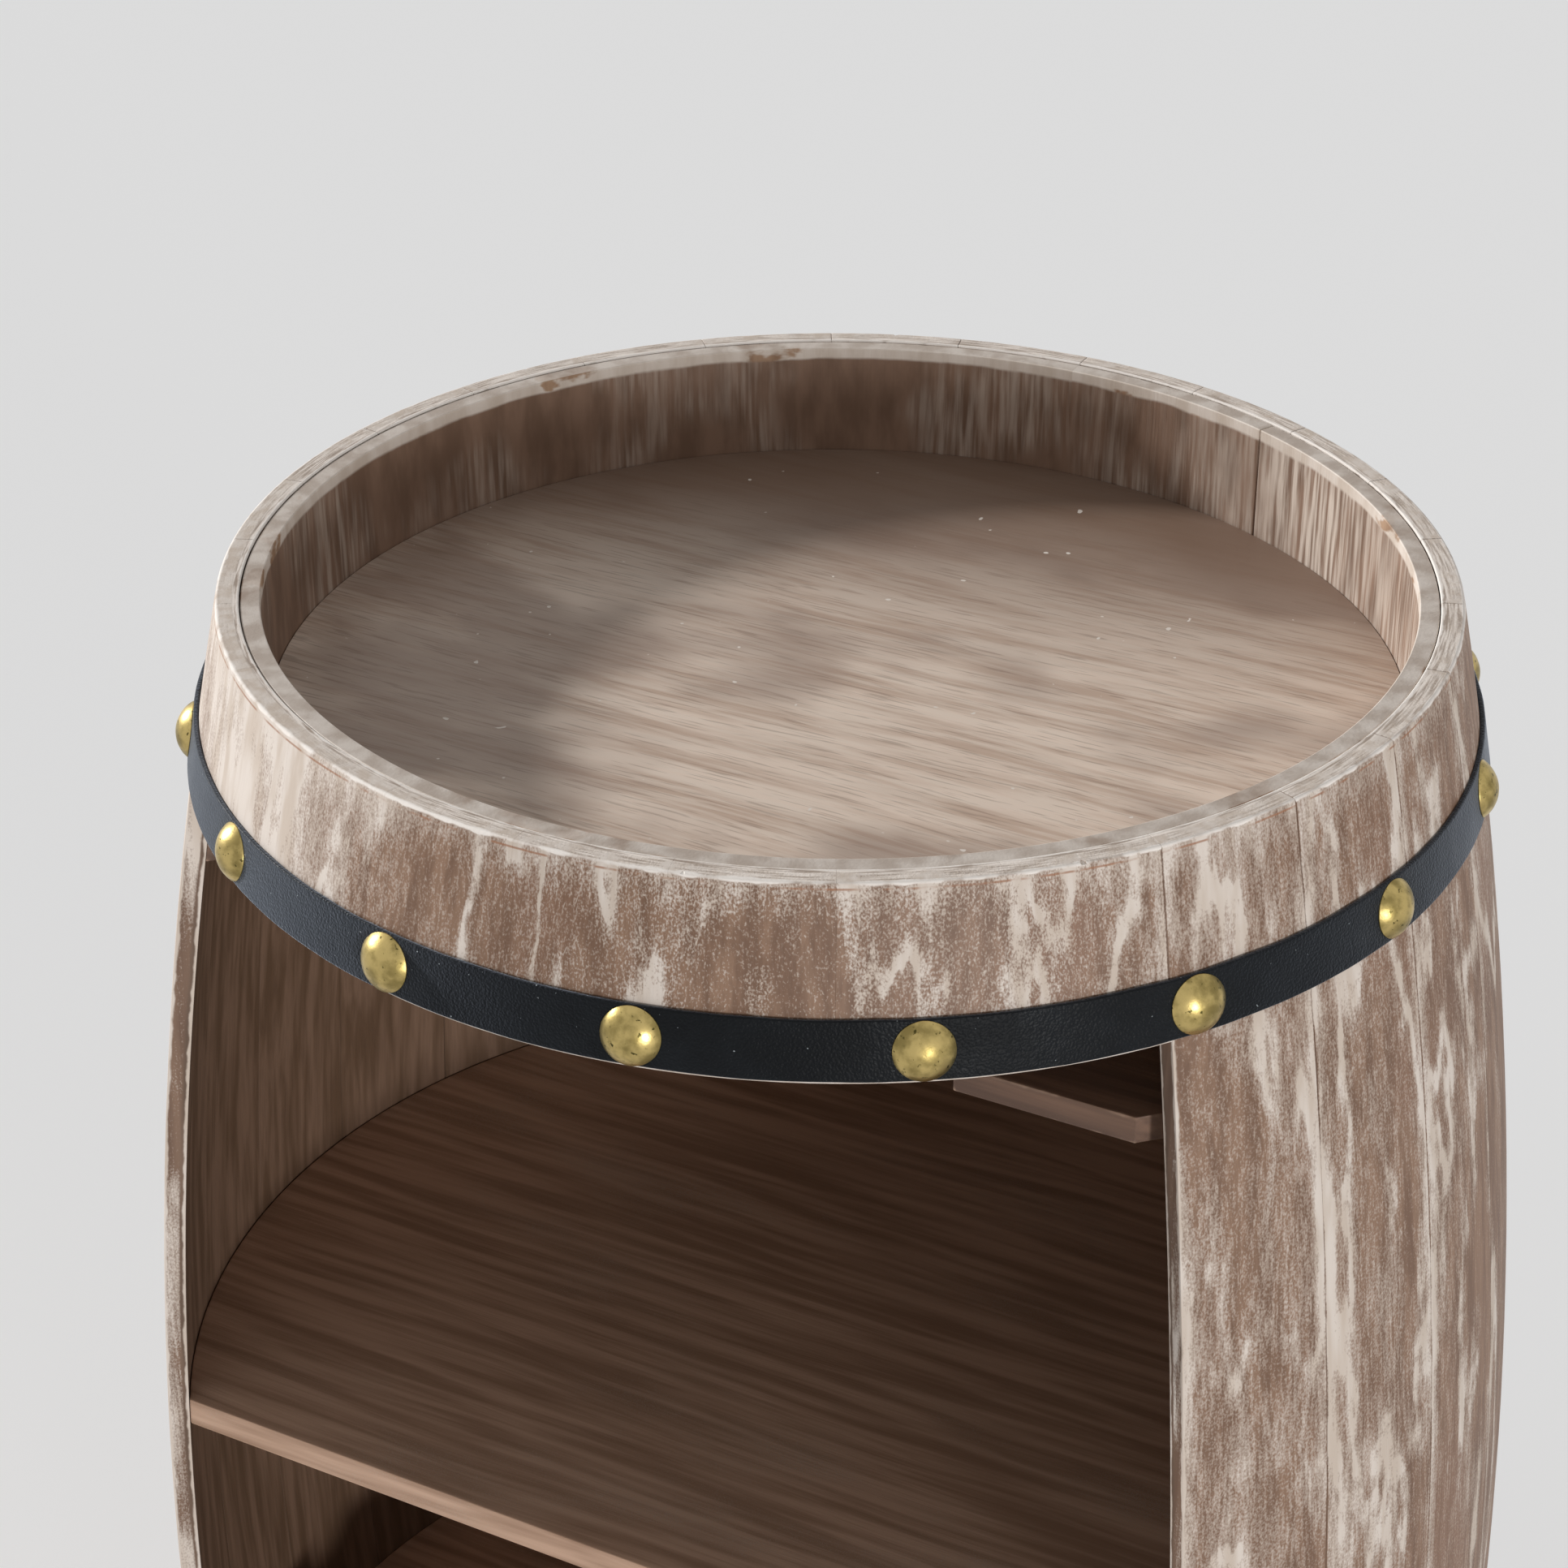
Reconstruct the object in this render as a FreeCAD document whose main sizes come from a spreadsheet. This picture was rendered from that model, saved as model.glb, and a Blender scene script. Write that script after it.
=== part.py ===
import FreeCAD, Part

# Barrel bar cabinet: an open-fronted staved barrel with a tray top, a stemware rack, two
# shelves with bottle rails, and a leather strap with brass tacks round each end.
#
# Millimetres, +Z up. The origin is the centre of the foot ring, on the floor. The opening
# faces -Y, and angles round the barrel are counted from -Y towards +X.

import os

import Sketcher
from FreeCAD import Placement, Rotation, Vector

doc = FreeCAD.newDocument("barrel_bar_cabinet")

# ---------------------------------------------------------------- driving dimensions

SIZES = {
    # the barrel
    "overall_height": 860,
    "end_radius": 215,
    "bulge_radius": 261,
    "stave_thickness": 8,
    "opening_half_angle": 54,
    "seam_gap": 0.12,
    "foot_height": 2,
    "foot_margin": 1,
    # heads: the tray panel and the floor panel, in grooves cut round the staves
    "panel_thickness": 9,
    "panel_rebate": 3,
    "croze_depth": 2.5,
    "tray_depth": 44,
    "floor_height": 54,
    "liner_thickness": 6.8,
    "liner_drop": 0.6,
    "liner_bevel_width": 5,
    "liner_bevel_depth": 4.5,
    "fit_gap": 0.2,
    # stemware rack
    "rack_drop": 97,
    "rack_thickness": 10,
    "rack_depth": 172,
    "rack_setback": 2,
    "rack_corner": 8,
    "slot_pitch": 97,
    "slot_width": 24,
    "slot_length": 112,
    # shelves and the cleats that carry them
    "upper_shelf_height": 521,
    "lower_shelf_height": 285,
    "shelf_thickness": 12,
    "cleat_length": 130,
    "cleat_depth": 22,
    "cleat_height": 18,
    # bottle rails
    "bottle_pitch": 98,
    "rail_thickness": 15,
    "rail_end": 10,
    "front_rail_place": 95,
    "back_rail_place": 85,
    "front_rail_height": 46,
    "back_rail_height": 32,
    "neck_cradle_radius": 24,
    "body_cradle_radius": 42,
    "body_cradle_floor": 8,
    "neck_cradle_floor": 30,
    # countersunk wood screws, each longer than what it passes through by its bite
    "stave_bite": 3,
    "board_bite": 7,
    "rail_bite": 13,
    "screw_radius": 2,
    "screw_head_radius": 4,
    "screw_head_height": 2.4,
    "screw_clearance": 0.1,
    "screw_spacing": 60,
    "screw_set_in": 7,
    # straps and dome tacks
    "strap_width": 20,
    "strap_thickness": 1.8,
    "strap_lift": 0.15,
    "strap_butt_gap": 0.5,
    "strap_drop": 52,
    "strap_reveal": 1,
    "tack_radius": 10,
    "tack_dome": 5.2,
    "tack_shank_radius": 1.2,
    "tack_tip_wall": 0.8,
    "tack_point": 2.4,
    # how far a cutting shape runs past what it cuts
    "overcut": 1,
}

# how many of each
FULL_STAVES = 18
FRONT_STAVES = 8
RACK_SLOTS = 3
TACKS = 16
UPPER_BOTTLES = 4
LOWER_BOTTLES = 3
CLEAT_STAVES = 3  # from the edge of the opening to a side cleat

sheet = doc.addObject("Spreadsheet::Sheet", "Sizes")
for row, (alias, value) in enumerate(SIZES.items(), start=1):
    sheet.set(f"A{row}", alias)
    sheet.set(f"B{row}", str(value))
    sheet.setAlias(f"B{row}", alias)
doc.recompute()

# ---------------------------------------------------------------- worked-out sizes
# Expressions in the sheet's terms. The outside of the barrel is one circular arc through
# both ends and the bulge, turned round the Z axis.

MIDDLE = "(Sizes.overall_height / 2)"
BULGE = "(Sizes.bulge_radius - Sizes.end_radius)"
CURVE = f"(({MIDDLE}^2 + {BULGE}^2) / (2 * {BULGE}))"
CURVE_CENTRE = f"({CURVE} - Sizes.bulge_radius)"

TRAY_TOP = "(Sizes.overall_height - Sizes.tray_depth)"
TRAY_LOW = f"({TRAY_TOP} - Sizes.panel_thickness)"
FLOOR_LOW = "(Sizes.floor_height - Sizes.panel_thickness)"
OPENING_END = "(Sizes.strap_drop + Sizes.strap_width / 2 + Sizes.strap_reveal)"
OPENING_TOP = f"(Sizes.overall_height - {OPENING_END})"
RACK_TOP = "(Sizes.overall_height - Sizes.rack_drop)"
RACK_LOW = f"({RACK_TOP} - Sizes.rack_thickness)"
FULL_ANGLE = f"((360 - 2 * Sizes.opening_half_angle) / {FULL_STAVES})"
FRONT_ANGLE = f"(2 * Sizes.opening_half_angle / {FRONT_STAVES})"
TACK_ANGLE = f"(360 / {TACKS})"
SIDE_CLEAT_ANGLE = f"(Sizes.opening_half_angle + {CLEAT_STAVES} * {FULL_ANGLE})"
STRAP_SKIN = "(Sizes.strap_lift + Sizes.strap_thickness)"
TACK_BITE = "(Sizes.stave_thickness - Sizes.croze_depth - Sizes.tack_tip_wall)"
TACK_SHANK = f"({STRAP_SKIN} + {TACK_BITE})"


def number(expression):
    """The present value of an expression in the sheet's terms."""
    return float(sheet.evalExpression(expression))


def barrel_radius(height, offset="0"):
    """Radius at a height of the barrel's outside, moved outwards by offset along the curve."""
    return f"(sqrt(({CURVE} + {offset})^2 - ({height} - {MIDDLE})^2) - {CURVE_CENTRE})"


def inside_radius(height):
    return barrel_radius(height, "-1 * Sizes.stave_thickness")


# ---------------------------------------------------------------- document helpers


def add(kind, name, **bound):
    """A document object with its Label, and the properties that follow the sheet."""
    thing = doc.addObject(kind, name)
    thing.Label = name
    for prop, expression in bound.items():
        thing.setExpression(prop, expression)
    return thing


def turned_place(angle, radius="0", height="0", tilt="0"):
    """A placement at an angle round the barrel. Local +Z leans from up (0) to outwards (90)."""
    spin = f"placement(vector(0; 0; 0); rotationz({angle} - 90))"
    return f"{spin} * placement(vector({radius}; 0; {height}); rotationy({tilt}))"


def pin_corner(sketch, edge, end, across, up):
    """Holds one end of a sketch line or arc at a place that follows the sheet."""
    for kind, expression in (("DistanceX", across), ("DistanceY", up)):
        place = number(expression)
        index = sketch.addConstraint(Sketcher.Constraint(kind, -1, 1, edge, end, place))
        sketch.setExpression(f"Constraints[{index}]", expression)


def upright_sketch(name):
    """A sketch on the XZ plane, whose X is the distance from the axis."""
    sketch = add("Sketcher::SketchObject", name)
    sketch.Placement = Placement(Vector(), Rotation(Vector(1, 0, 0), 90))
    return sketch


def corner_section(name, corners):
    """A closed straight-sided section through corners given as pairs of expressions."""
    sketch = upright_sketch(name)
    places = [Vector(number(across), number(up), 0) for across, up in corners]
    count = len(places)
    for index in range(count):
        ends = places[index], places[(index + 1) % count]
        sketch.addGeometry(Part.LineSegment(*ends), False)
    for index in range(count):
        following = (index + 1) % count
        sketch.addConstraint(Sketcher.Constraint("Coincident", index, 2, following, 1))
    for index, (across, up) in enumerate(corners):
        pin_corner(sketch, index, 1, across, up)
    return sketch


def barrel_section(name, outer, inner, low, high):
    """A section between two arcs that share the barrel's curve centre, cut level at low and
    high. outer and inner move the arcs outwards; with inner None it reaches the axis."""
    sketch = upright_sketch(name)
    centre = Vector(-number(CURVE_CENTRE), number(MIDDLE), 0)

    def arc(offset):
        radius = number(f"{CURVE} + {offset}")
        ends = []
        for height in (number(low), number(high)):
            rise = height - centre.y
            ends.append(Vector(centre.x + (radius**2 - rise**2) ** 0.5, height, 0))
        bulge = Vector(centre.x + radius, centre.y, 0)
        if not number(low) < centre.y < number(high):
            rise = (number(low) + number(high)) / 2 - centre.y
            bulge = Vector(centre.x + (radius**2 - rise**2) ** 0.5, centre.y + rise, 0)
        return Part.Arc(ends[0], bulge, ends[1]), ends, radius

    def hold_arc(edge, offset):
        sketch.addConstraint(Sketcher.Constraint("Radius", edge, arc(offset)[2]))
        sketch.setExpression(f"Constraints[{sketch.ConstraintCount - 1}]", f"{CURVE} + {offset}")
        sideways = Sketcher.Constraint("DistanceX", edge, 3, -1, 1, number(CURVE_CENTRE))
        sketch.addConstraint(sideways)
        sketch.setExpression(f"Constraints[{sketch.ConstraintCount - 1}]", CURVE_CENTRE)
        upwards = Sketcher.Constraint("DistanceY", -1, 1, edge, 3, number(MIDDLE))
        sketch.addConstraint(upwards)
        sketch.setExpression(f"Constraints[{sketch.ConstraintCount - 1}]", MIDDLE)

    def hold_height(edge, end, height):
        rule = Sketcher.Constraint("DistanceY", -1, 1, edge, end, number(height))
        sketch.addConstraint(rule)
        sketch.setExpression(f"Constraints[{sketch.ConstraintCount - 1}]", height)

    outer_arc, outer_ends, _ = arc(outer)
    if inner is None:
        inner_ends = [Vector(0, end.y, 0) for end in outer_ends]
        inner_edge = Part.LineSegment(*inner_ends)
    else:
        inner_edge, inner_ends, _ = arc(inner)
    sketch.addGeometry(outer_arc, False)
    sketch.addGeometry(Part.LineSegment(outer_ends[1], inner_ends[1]), False)
    sketch.addGeometry(inner_edge, False)
    sketch.addGeometry(Part.LineSegment(inner_ends[0], outer_ends[0]), False)
    for join in ((0, 2, 1, 1), (1, 2, 2, 2), (2, 1, 3, 1), (3, 2, 0, 1)):
        sketch.addConstraint(Sketcher.Constraint("Coincident", *join))
    hold_arc(0, outer)
    hold_height(0, 1, low)
    hold_height(0, 2, high)
    if inner is None:
        pin_corner(sketch, 2, 1, "0", low)
        pin_corner(sketch, 2, 2, "0", high)
    else:
        hold_arc(2, inner)
        hold_height(2, 1, low)
        hold_height(2, 2, high)
    return sketch


def turned(name, section, angle="360", place=None):
    """A section turned about the Z axis, then put in its place."""
    body = add("Part::Revolution", name, Angle=angle)
    body.Source = section
    body.Axis = Vector(0, 0, 1)
    body.Base = Vector()
    body.Solid = True
    if place:
        body.setExpression("Placement", place)
    return body


def block(name, low, high):
    """A box between two corners, each a triple of expressions."""
    spans = [f"({top}) - ({bottom})" for bottom, top in zip(low, high)]
    box = add("Part::Box", name, Length=spans[0], Width=spans[1], Height=spans[2])
    box.setExpression("Placement", f"placement(vector({low[0]}; {low[1]}; {low[2]}); rotationz(0))")
    return box


def gather(name, things):
    group = add("Part::Compound", name)
    group.Links = things
    return group


def cut(name, base, tool):
    result = add("Part::Cut", name)
    result.Base = base
    result.Tool = tool
    return result


def shared_space(name, base, tool):
    """What two solids have in common."""
    result = add("Part::Common", name)
    result.Base = base
    result.Tool = tool
    return result


pieces = []


def keep(piece):
    """Marks a document object as a real piece, exported under its Label."""
    pieces.append(piece)
    return piece


# ---------------------------------------------------------------- screws and tacks


def screw_section(name, length, clearance):
    """A countersunk screw seen from the side: the head's face at 0 and the point below."""
    head = f"(Sizes.screw_head_radius + {clearance})"
    shank = f"(Sizes.screw_radius + {clearance})"
    neck = "-1 * Sizes.screw_head_height"
    shoulder = f"Sizes.screw_radius - {length}"
    point = f"-1 * ({length} + {clearance})"
    corners = [("0", "0"), ("0", point), (shank, shoulder), (shank, neck), (head, "0")]
    return corner_section(name, corners)


def tack_section(name):
    """A dome tack seen from the side: its rim at 0, the dome above and the shank below."""
    sketch = upright_sketch(name)
    rim = Vector(number("Sizes.tack_radius"), 0, 0)
    crown = Vector(0, number("Sizes.tack_dome"), 0)
    dome_curve = "((Sizes.tack_radius^2 + Sizes.tack_dome^2) / (2 * Sizes.tack_dome))"
    radius = number(dome_curve)
    centre_drop = radius - crown.y
    lean = (rim.x / 2, (radius**2 - (rim.x / 2) ** 2) ** 0.5 - centre_drop)
    shank = number("Sizes.tack_shank_radius")
    point = Vector(0, -number(TACK_SHANK), 0)
    shoulder = Vector(shank, point.y + number("Sizes.tack_point"), 0)
    corners = [crown, point, shoulder, Vector(shank, 0, 0), rim]
    for start, end in zip(corners, corners[1:]):
        sketch.addGeometry(Part.LineSegment(start, end), False)
    sketch.addGeometry(Part.Arc(rim, Vector(*lean, 0), crown), False)
    for index in range(4):
        sketch.addConstraint(Sketcher.Constraint("Coincident", index, 2, index + 1, 1))
    sketch.addConstraint(Sketcher.Constraint("Coincident", 4, 2, 0, 1))
    places = [
        ("0", "Sizes.tack_dome"),
        ("0", f"-1 * {TACK_SHANK}"),
        ("Sizes.tack_shank_radius", f"Sizes.tack_point - {TACK_SHANK}"),
        ("Sizes.tack_shank_radius", "0"),
        ("Sizes.tack_radius", "0"),
    ]
    for index, (across, up) in enumerate(places):
        pin_corner(sketch, index, 1, across, up)
    drop = Sketcher.Constraint("DistanceX", -1, 1, 4, 3, 0)
    sketch.addConstraint(drop)
    return sketch


SCREW_LENGTHS = {
    "stave": "(Sizes.cleat_depth + Sizes.stave_bite)",
    "board": "(Sizes.cleat_height + Sizes.board_bite)",
    "shelf_rail": "(Sizes.shelf_thickness + Sizes.rail_bite)",
    "floor_rail": "(Sizes.panel_thickness + Sizes.rail_bite)",
}
screw_profiles = {}
for use, length in SCREW_LENGTHS.items():
    body = screw_section(f"{use}_screw_profile", length, "0")
    hole = screw_section(f"{use}_screw_hole_profile", length, "Sizes.screw_clearance")
    screw_profiles[use] = (body, hole)
tack_profile = tack_section("tack_profile")

screws = []
screw_holes = []


def screw(use, place):
    """One screw and the hole that it needs, at the same place."""
    index = len(screws) + 1
    body, hole = screw_profiles[use]
    screws.append(turned(f"screw_{index}", body, place=place))
    screw_holes.append(turned(f"screw_hole_{index}", hole, place=place))


def strap_tacks(label, height):
    """A ring of tacks on a strap, each square to the barrel's slope there."""
    lean = f"(90 deg - asin(({height} - {MIDDLE}) / ({CURVE} + {STRAP_SKIN})))"
    depth = f"({TACK_SHANK} + Sizes.strap_lift)"
    sunk = f"placement(vector(0; 0; -1 * {depth}); rotationz(0))"
    tacks = []
    holes = []
    for index in range(TACKS):
        angle = f"({index} + 0.5) * {TACK_ANGLE}"
        place = turned_place(angle, barrel_radius(height, STRAP_SKIN), height, lean)
        tacks.append(turned(f"{label}_{index + 1}", tack_profile, place=place))
        hole = add("Part::Cylinder", f"{label}_hole_{index + 1}", Height=f"{depth} + Sizes.overcut")
        hole.setExpression("Radius", "Sizes.tack_shank_radius + Sizes.strap_lift")
        hole.setExpression("Placement", f"{place} * {sunk}")
        holes.append(hole)
    keep(gather(label, tacks))
    return gather(f"{label}_holes", holes)


TOP_STRAP = "(Sizes.overall_height - Sizes.strap_drop)"
BOTTOM_STRAP = "Sizes.strap_drop"
top_tack_holes = strap_tacks("top_tacks", TOP_STRAP)
bottom_tack_holes = strap_tacks("bottom_tacks", BOTTOM_STRAP)

# ---------------------------------------------------------------- space inside the staves

clear_of_staves = "(-1 * Sizes.stave_thickness - Sizes.fit_gap)"
inside = turned(
    "inside",
    barrel_section("inside_profile", clear_of_staves, None, "0", "Sizes.overall_height"),
)

# ---------------------------------------------------------------- cleats


def cleat(name, angle, top):
    """A straight batten against the staves, its back shaped to them, its top at a height."""
    half_length = "Sizes.cleat_length / 2"
    half_height = "Sizes.cleat_height / 2"
    middle = f"({top} - {half_height})"
    face = f"({inside_radius(middle)} - Sizes.cleat_depth)"
    seat = turned_place(angle, face, middle)
    bar = add("Part::Box", f"{name}_bar", Width="Sizes.cleat_length", Height="Sizes.cleat_height")
    bar.setExpression("Length", "Sizes.cleat_depth + Sizes.stave_thickness")
    corner = f"placement(vector(0; -1 * {half_length}; -1 * {half_height}); rotationz(0))"
    bar.setExpression("Placement", f"{seat} * {corner}")
    shaped = shared_space(f"{name}_shaped", bar, inside)
    first_screw = len(screw_holes)
    for side in (-1, 1):
        across = f"placement(vector(0; {side} * Sizes.screw_spacing / 2; 0); rotationy(-90))"
        screw("stave", f"{seat} * {across}")
    below = f"placement(vector(Sizes.screw_set_in; 0; -1 * {half_height}); rotationy(180))"
    screw("board", f"{seat} * {below}")
    holes = gather(f"{name}_holes", screw_holes[first_screw:])
    keep(cut(name, shaped, holes))


SHELF_LOW = "(Sizes.{0}_shelf_height - Sizes.shelf_thickness)"
UPPER_SHELF_LOW = SHELF_LOW.format("upper")
LOWER_SHELF_LOW = SHELF_LOW.format("lower")
sides = (("left", f"(-1 * {SIDE_CLEAT_ANGLE})"), ("right", SIDE_CLEAT_ANGLE))
for side, angle in sides:
    cleat(f"rack_cleat_{side}", angle, RACK_LOW)
for level, underside in (("upper", UPPER_SHELF_LOW), ("lower", LOWER_SHELF_LOW)):
    for side, angle in (*sides, ("back", "180")):
        cleat(f"{level}_shelf_cleat_{side}", angle, underside)

# ---------------------------------------------------------------- bottle rails


def bottle_rail(name, row, place, height, cradle):
    """A plank on edge with a round cradle for each bottle, screwed down through its seat."""
    seat, below, use, bottles = row
    radius, cradle_low = cradle
    half = f"({bottles} * Sizes.bottle_pitch / 2 + Sizes.rail_end)"
    near = f"({place} - Sizes.rail_thickness / 2)"
    far = f"({place} + Sizes.rail_thickness / 2)"
    plank = block(f"{name}_plank", (f"-1 * {half}", near, seat), (half, far, f"{seat} + {height}"))
    shaped = shared_space(f"{name}_shaped", plank, inside)
    cuts = []
    for index in range(bottles):
        across = f"({index} - {(bottles - 1) / 2}) * Sizes.bottle_pitch"
        hollow = add("Part::Cylinder", f"{name}_cradle_{index + 1}", Radius=radius)
        hollow.setExpression("Height", "2 * Sizes.rail_thickness")
        spot = f"vector({across}; {place} + Sizes.rail_thickness; {seat} + {cradle_low} + {radius})"
        hollow.setExpression("Placement", f"placement({spot}; rotationx(90))")
        cuts.append(hollow)
    for side in (-1, 1):
        across = f"{side} * {(bottles - 2) / 2} * Sizes.bottle_pitch"
        screw(use, f"placement(vector({across}; {place}; {below}); rotationy(180))")
        cuts.append(screw_holes[-1])
    keep(cut(name, shaped, gather(f"{name}_cuts", cuts)))


RAIL_ROWS = {
    "upper": ("Sizes.lower_shelf_height", LOWER_SHELF_LOW, "shelf_rail", UPPER_BOTTLES),
    "lower": ("Sizes.floor_height", FLOOR_LOW, "floor_rail", LOWER_BOTTLES),
}
NECK_CRADLE = ("Sizes.neck_cradle_radius", "Sizes.neck_cradle_floor")
BODY_CRADLE = ("Sizes.body_cradle_radius", "Sizes.body_cradle_floor")
for level, row in RAIL_ROWS.items():
    front = f"{level}_bottle_rail_front"
    back = f"{level}_bottle_rail_back"
    bottle_rail(front, row, "(-1 * Sizes.front_rail_place)", "Sizes.front_rail_height", NECK_CRADLE)
    bottle_rail(back, row, "Sizes.back_rail_place", "Sizes.back_rail_height", BODY_CRADLE)

all_screw_holes = gather("all_screw_holes", screw_holes)
keep(gather("wood_screws", screws))

# ---------------------------------------------------------------- shelves and rack


def opening_chord(height):
    """Where the front edge of a shelf runs: between the inner corners of the opening."""
    return f"(-1 * {inside_radius(height)} * cos(Sizes.opening_half_angle))"


def shelf(name, top):
    """A round shelf shaped to the staves, straight along the opening."""
    low = f"({top} - Sizes.shelf_thickness)"
    wide = "Sizes.bulge_radius"
    board = block(f"{name}_board", (f"-1 * {wide}", opening_chord(low), low), (wide, wide, top))
    shaped = shared_space(f"{name}_shaped", board, inside)
    keep(cut(name, shaped, all_screw_holes))


shelf("upper_shelf", "Sizes.upper_shelf_height")
shelf("lower_shelf", "Sizes.lower_shelf_height")

rack_front = f"({opening_chord(RACK_TOP)} + Sizes.rack_setback)"
rack_board = block(
    "rack_board",
    ("-1 * Sizes.bulge_radius", rack_front, RACK_LOW),
    ("Sizes.bulge_radius", f"{rack_front} + Sizes.rack_depth", RACK_TOP),
)
rack_shaped = shared_space("rack_shaped", rack_board, inside)
rack_cuts = []
cut_low = f"({RACK_LOW} - Sizes.overcut)"
cut_high = f"({RACK_TOP} + Sizes.overcut)"
for index in range(RACK_SLOTS):
    across = f"(({index} - {(RACK_SLOTS - 1) / 2}) * Sizes.slot_pitch)"
    half = "Sizes.slot_width / 2"
    end = f"({rack_front} + Sizes.slot_length - {half})"
    channel = block(
        f"slot_channel_{index + 1}",
        (f"{across} - {half}", f"{rack_front} - Sizes.overcut", cut_low),
        (f"{across} + {half}", end, cut_high),
    )
    round_end = add("Part::Cylinder", f"slot_end_{index + 1}", Radius=half)
    round_end.setExpression("Height", f"{cut_high} - {cut_low}")
    spot = f"vector({across}; {end}; {cut_low})"
    round_end.setExpression("Placement", f"placement({spot}; rotationz(0))")
    rack_cuts += [channel, round_end]
rack_reach = f"sqrt({inside_radius(RACK_TOP)}^2 - {rack_front}^2)"
for side in (-1, 1):
    wide = "2 * Sizes.rack_corner"
    corner = add("Part::Box", f"rack_corner_{len(rack_cuts)}", Length=wide, Width=wide)
    corner.setExpression("Height", f"{cut_high} - {cut_low}")
    spot = f"vector({side} * {rack_reach}; {rack_front}; {cut_low})"
    centred = "placement(vector(-1 * Sizes.rack_corner; -1 * Sizes.rack_corner; 0); rotationz(0))"
    corner.setExpression("Placement", f"placement({spot}; rotationz(45)) * {centred}")
    rack_cuts.append(corner)
rack_cuts.append(all_screw_holes)
keep(cut("stemware_rack", rack_shaped, gather("rack_cuts", rack_cuts)))

# ---------------------------------------------------------------- heads in their grooves


LINER_OUTSIDE = f"({inside_radius('Sizes.overall_height')} - Sizes.fit_gap)"
LINER_INSIDE = f"({LINER_OUTSIDE} - Sizes.liner_thickness)"


def head_groove(name, low, height, widest):
    """The groove cut round the staves for a head panel, and the radius of the panel's edge.
    widest is the height at which the staves stand furthest apart there."""
    radius = f"({inside_radius(widest)} + Sizes.croze_depth)"
    groove = add("Part::Cylinder", name, Radius=radius, Height=height)
    groove.setExpression("Placement", f"placement(vector(0; 0; {low}); rotationz(0))")
    return groove, f"({radius} - Sizes.fit_gap)"


LEDGE = f"({TRAY_TOP} - Sizes.panel_rebate)"
tray_tongue = "(Sizes.panel_thickness - Sizes.panel_rebate)"
tray_groove, tray_edge = head_groove("tray_groove", TRAY_LOW, tray_tongue, TRAY_LOW)
tray_raised = f"({LINER_INSIDE} - Sizes.fit_gap)"
tray_profile = corner_section(
    "tray_profile",
    [
        ("0", TRAY_LOW),
        (tray_edge, TRAY_LOW),
        (tray_edge, LEDGE),
        (tray_raised, LEDGE),
        (tray_raised, TRAY_TOP),
        ("0", TRAY_TOP),
    ],
)
keep(turned("tray_panel", tray_profile))

floor_thickness = "Sizes.panel_thickness"
floor_top = "Sizes.floor_height"
floor_groove, floor_edge = head_groove("floor_groove", FLOOR_LOW, floor_thickness, floor_top)
floor_disc = add("Part::Cylinder", "floor_disc", Radius=floor_edge, Height=floor_thickness)
floor_disc.setExpression("Placement", f"placement(vector(0; 0; {FLOOR_LOW}); rotationz(0))")
keep(cut("floor_panel", floor_disc, all_screw_holes))

liner_top = "(Sizes.overall_height - Sizes.liner_drop)"
liner_profile = corner_section(
    "liner_profile",
    [
        (LINER_INSIDE, LEDGE),
        (LINER_OUTSIDE, LEDGE),
        (LINER_OUTSIDE, liner_top),
        (f"{LINER_INSIDE} + Sizes.liner_bevel_width", liner_top),
        (LINER_INSIDE, f"{liner_top} - Sizes.liner_bevel_depth"),
    ],
)
keep(turned("tray_liner", liner_profile))

# ---------------------------------------------------------------- staves

WOOD = "-1 * Sizes.stave_thickness"
full_profile = barrel_section("full_profile", "0", WOOD, "Sizes.foot_height", "Sizes.overall_height")
head_profile = barrel_section("head_profile", "0", WOOD, OPENING_TOP, "Sizes.overall_height")
foot_profile = barrel_section("foot_profile", "0", WOOD, "Sizes.foot_height", OPENING_END)
stave_cuts = gather(
    "stave_cuts",
    [tray_groove, floor_groove, all_screw_holes, top_tack_holes, bottom_tack_holes],
)
seam_angle = "(Sizes.seam_gap / Sizes.bulge_radius * 180 / pi)"


def stave_row(label, section, count, start, width):
    """Staves side by side round the barrel, each its own piece, with a hairline seam."""
    for index in range(count):
        name = f"{label}_{index + 1:02d}"
        angle = f"({start} + {index} * {width} + {seam_angle} / 2)"
        blank = turned(f"{name}_blank", section, f"{width} - {seam_angle}", turned_place(angle))
        keep(cut(name, blank, stave_cuts))


OPENING_LEFT = "(-1 * Sizes.opening_half_angle)"
stave_row("stave", full_profile, FULL_STAVES, "Sizes.opening_half_angle", FULL_ANGLE)
stave_row("head_stave", head_profile, FRONT_STAVES, OPENING_LEFT, FRONT_ANGLE)
stave_row("foot_stave", foot_profile, FRONT_STAVES, OPENING_LEFT, FRONT_ANGLE)

# ---------------------------------------------------------------- straps and the foot ring


def strap(name, height, tack_holes):
    """A leather band that follows the barrel's slope, with its butt joint under a tack."""
    rise = f"(({height} - {MIDDLE}) / {CURVE})"
    half = f"(Sizes.strap_width / 2 * sqrt(1 - {rise}^2))"
    low = f"({height} - {half})"
    high = f"({height} + {half})"
    section = barrel_section(f"{name}_profile", STRAP_SKIN, "Sizes.strap_lift", low, high)
    gap_angle = "(Sizes.strap_butt_gap / Sizes.end_radius * 180 / pi)"
    joint = f"({TACKS // 2 - 0.5} * {TACK_ANGLE} + {gap_angle} / 2)"
    band = turned(f"{name}_band", section, f"360 - {gap_angle}", turned_place(joint))
    keep(cut(name, band, tack_holes))


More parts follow.
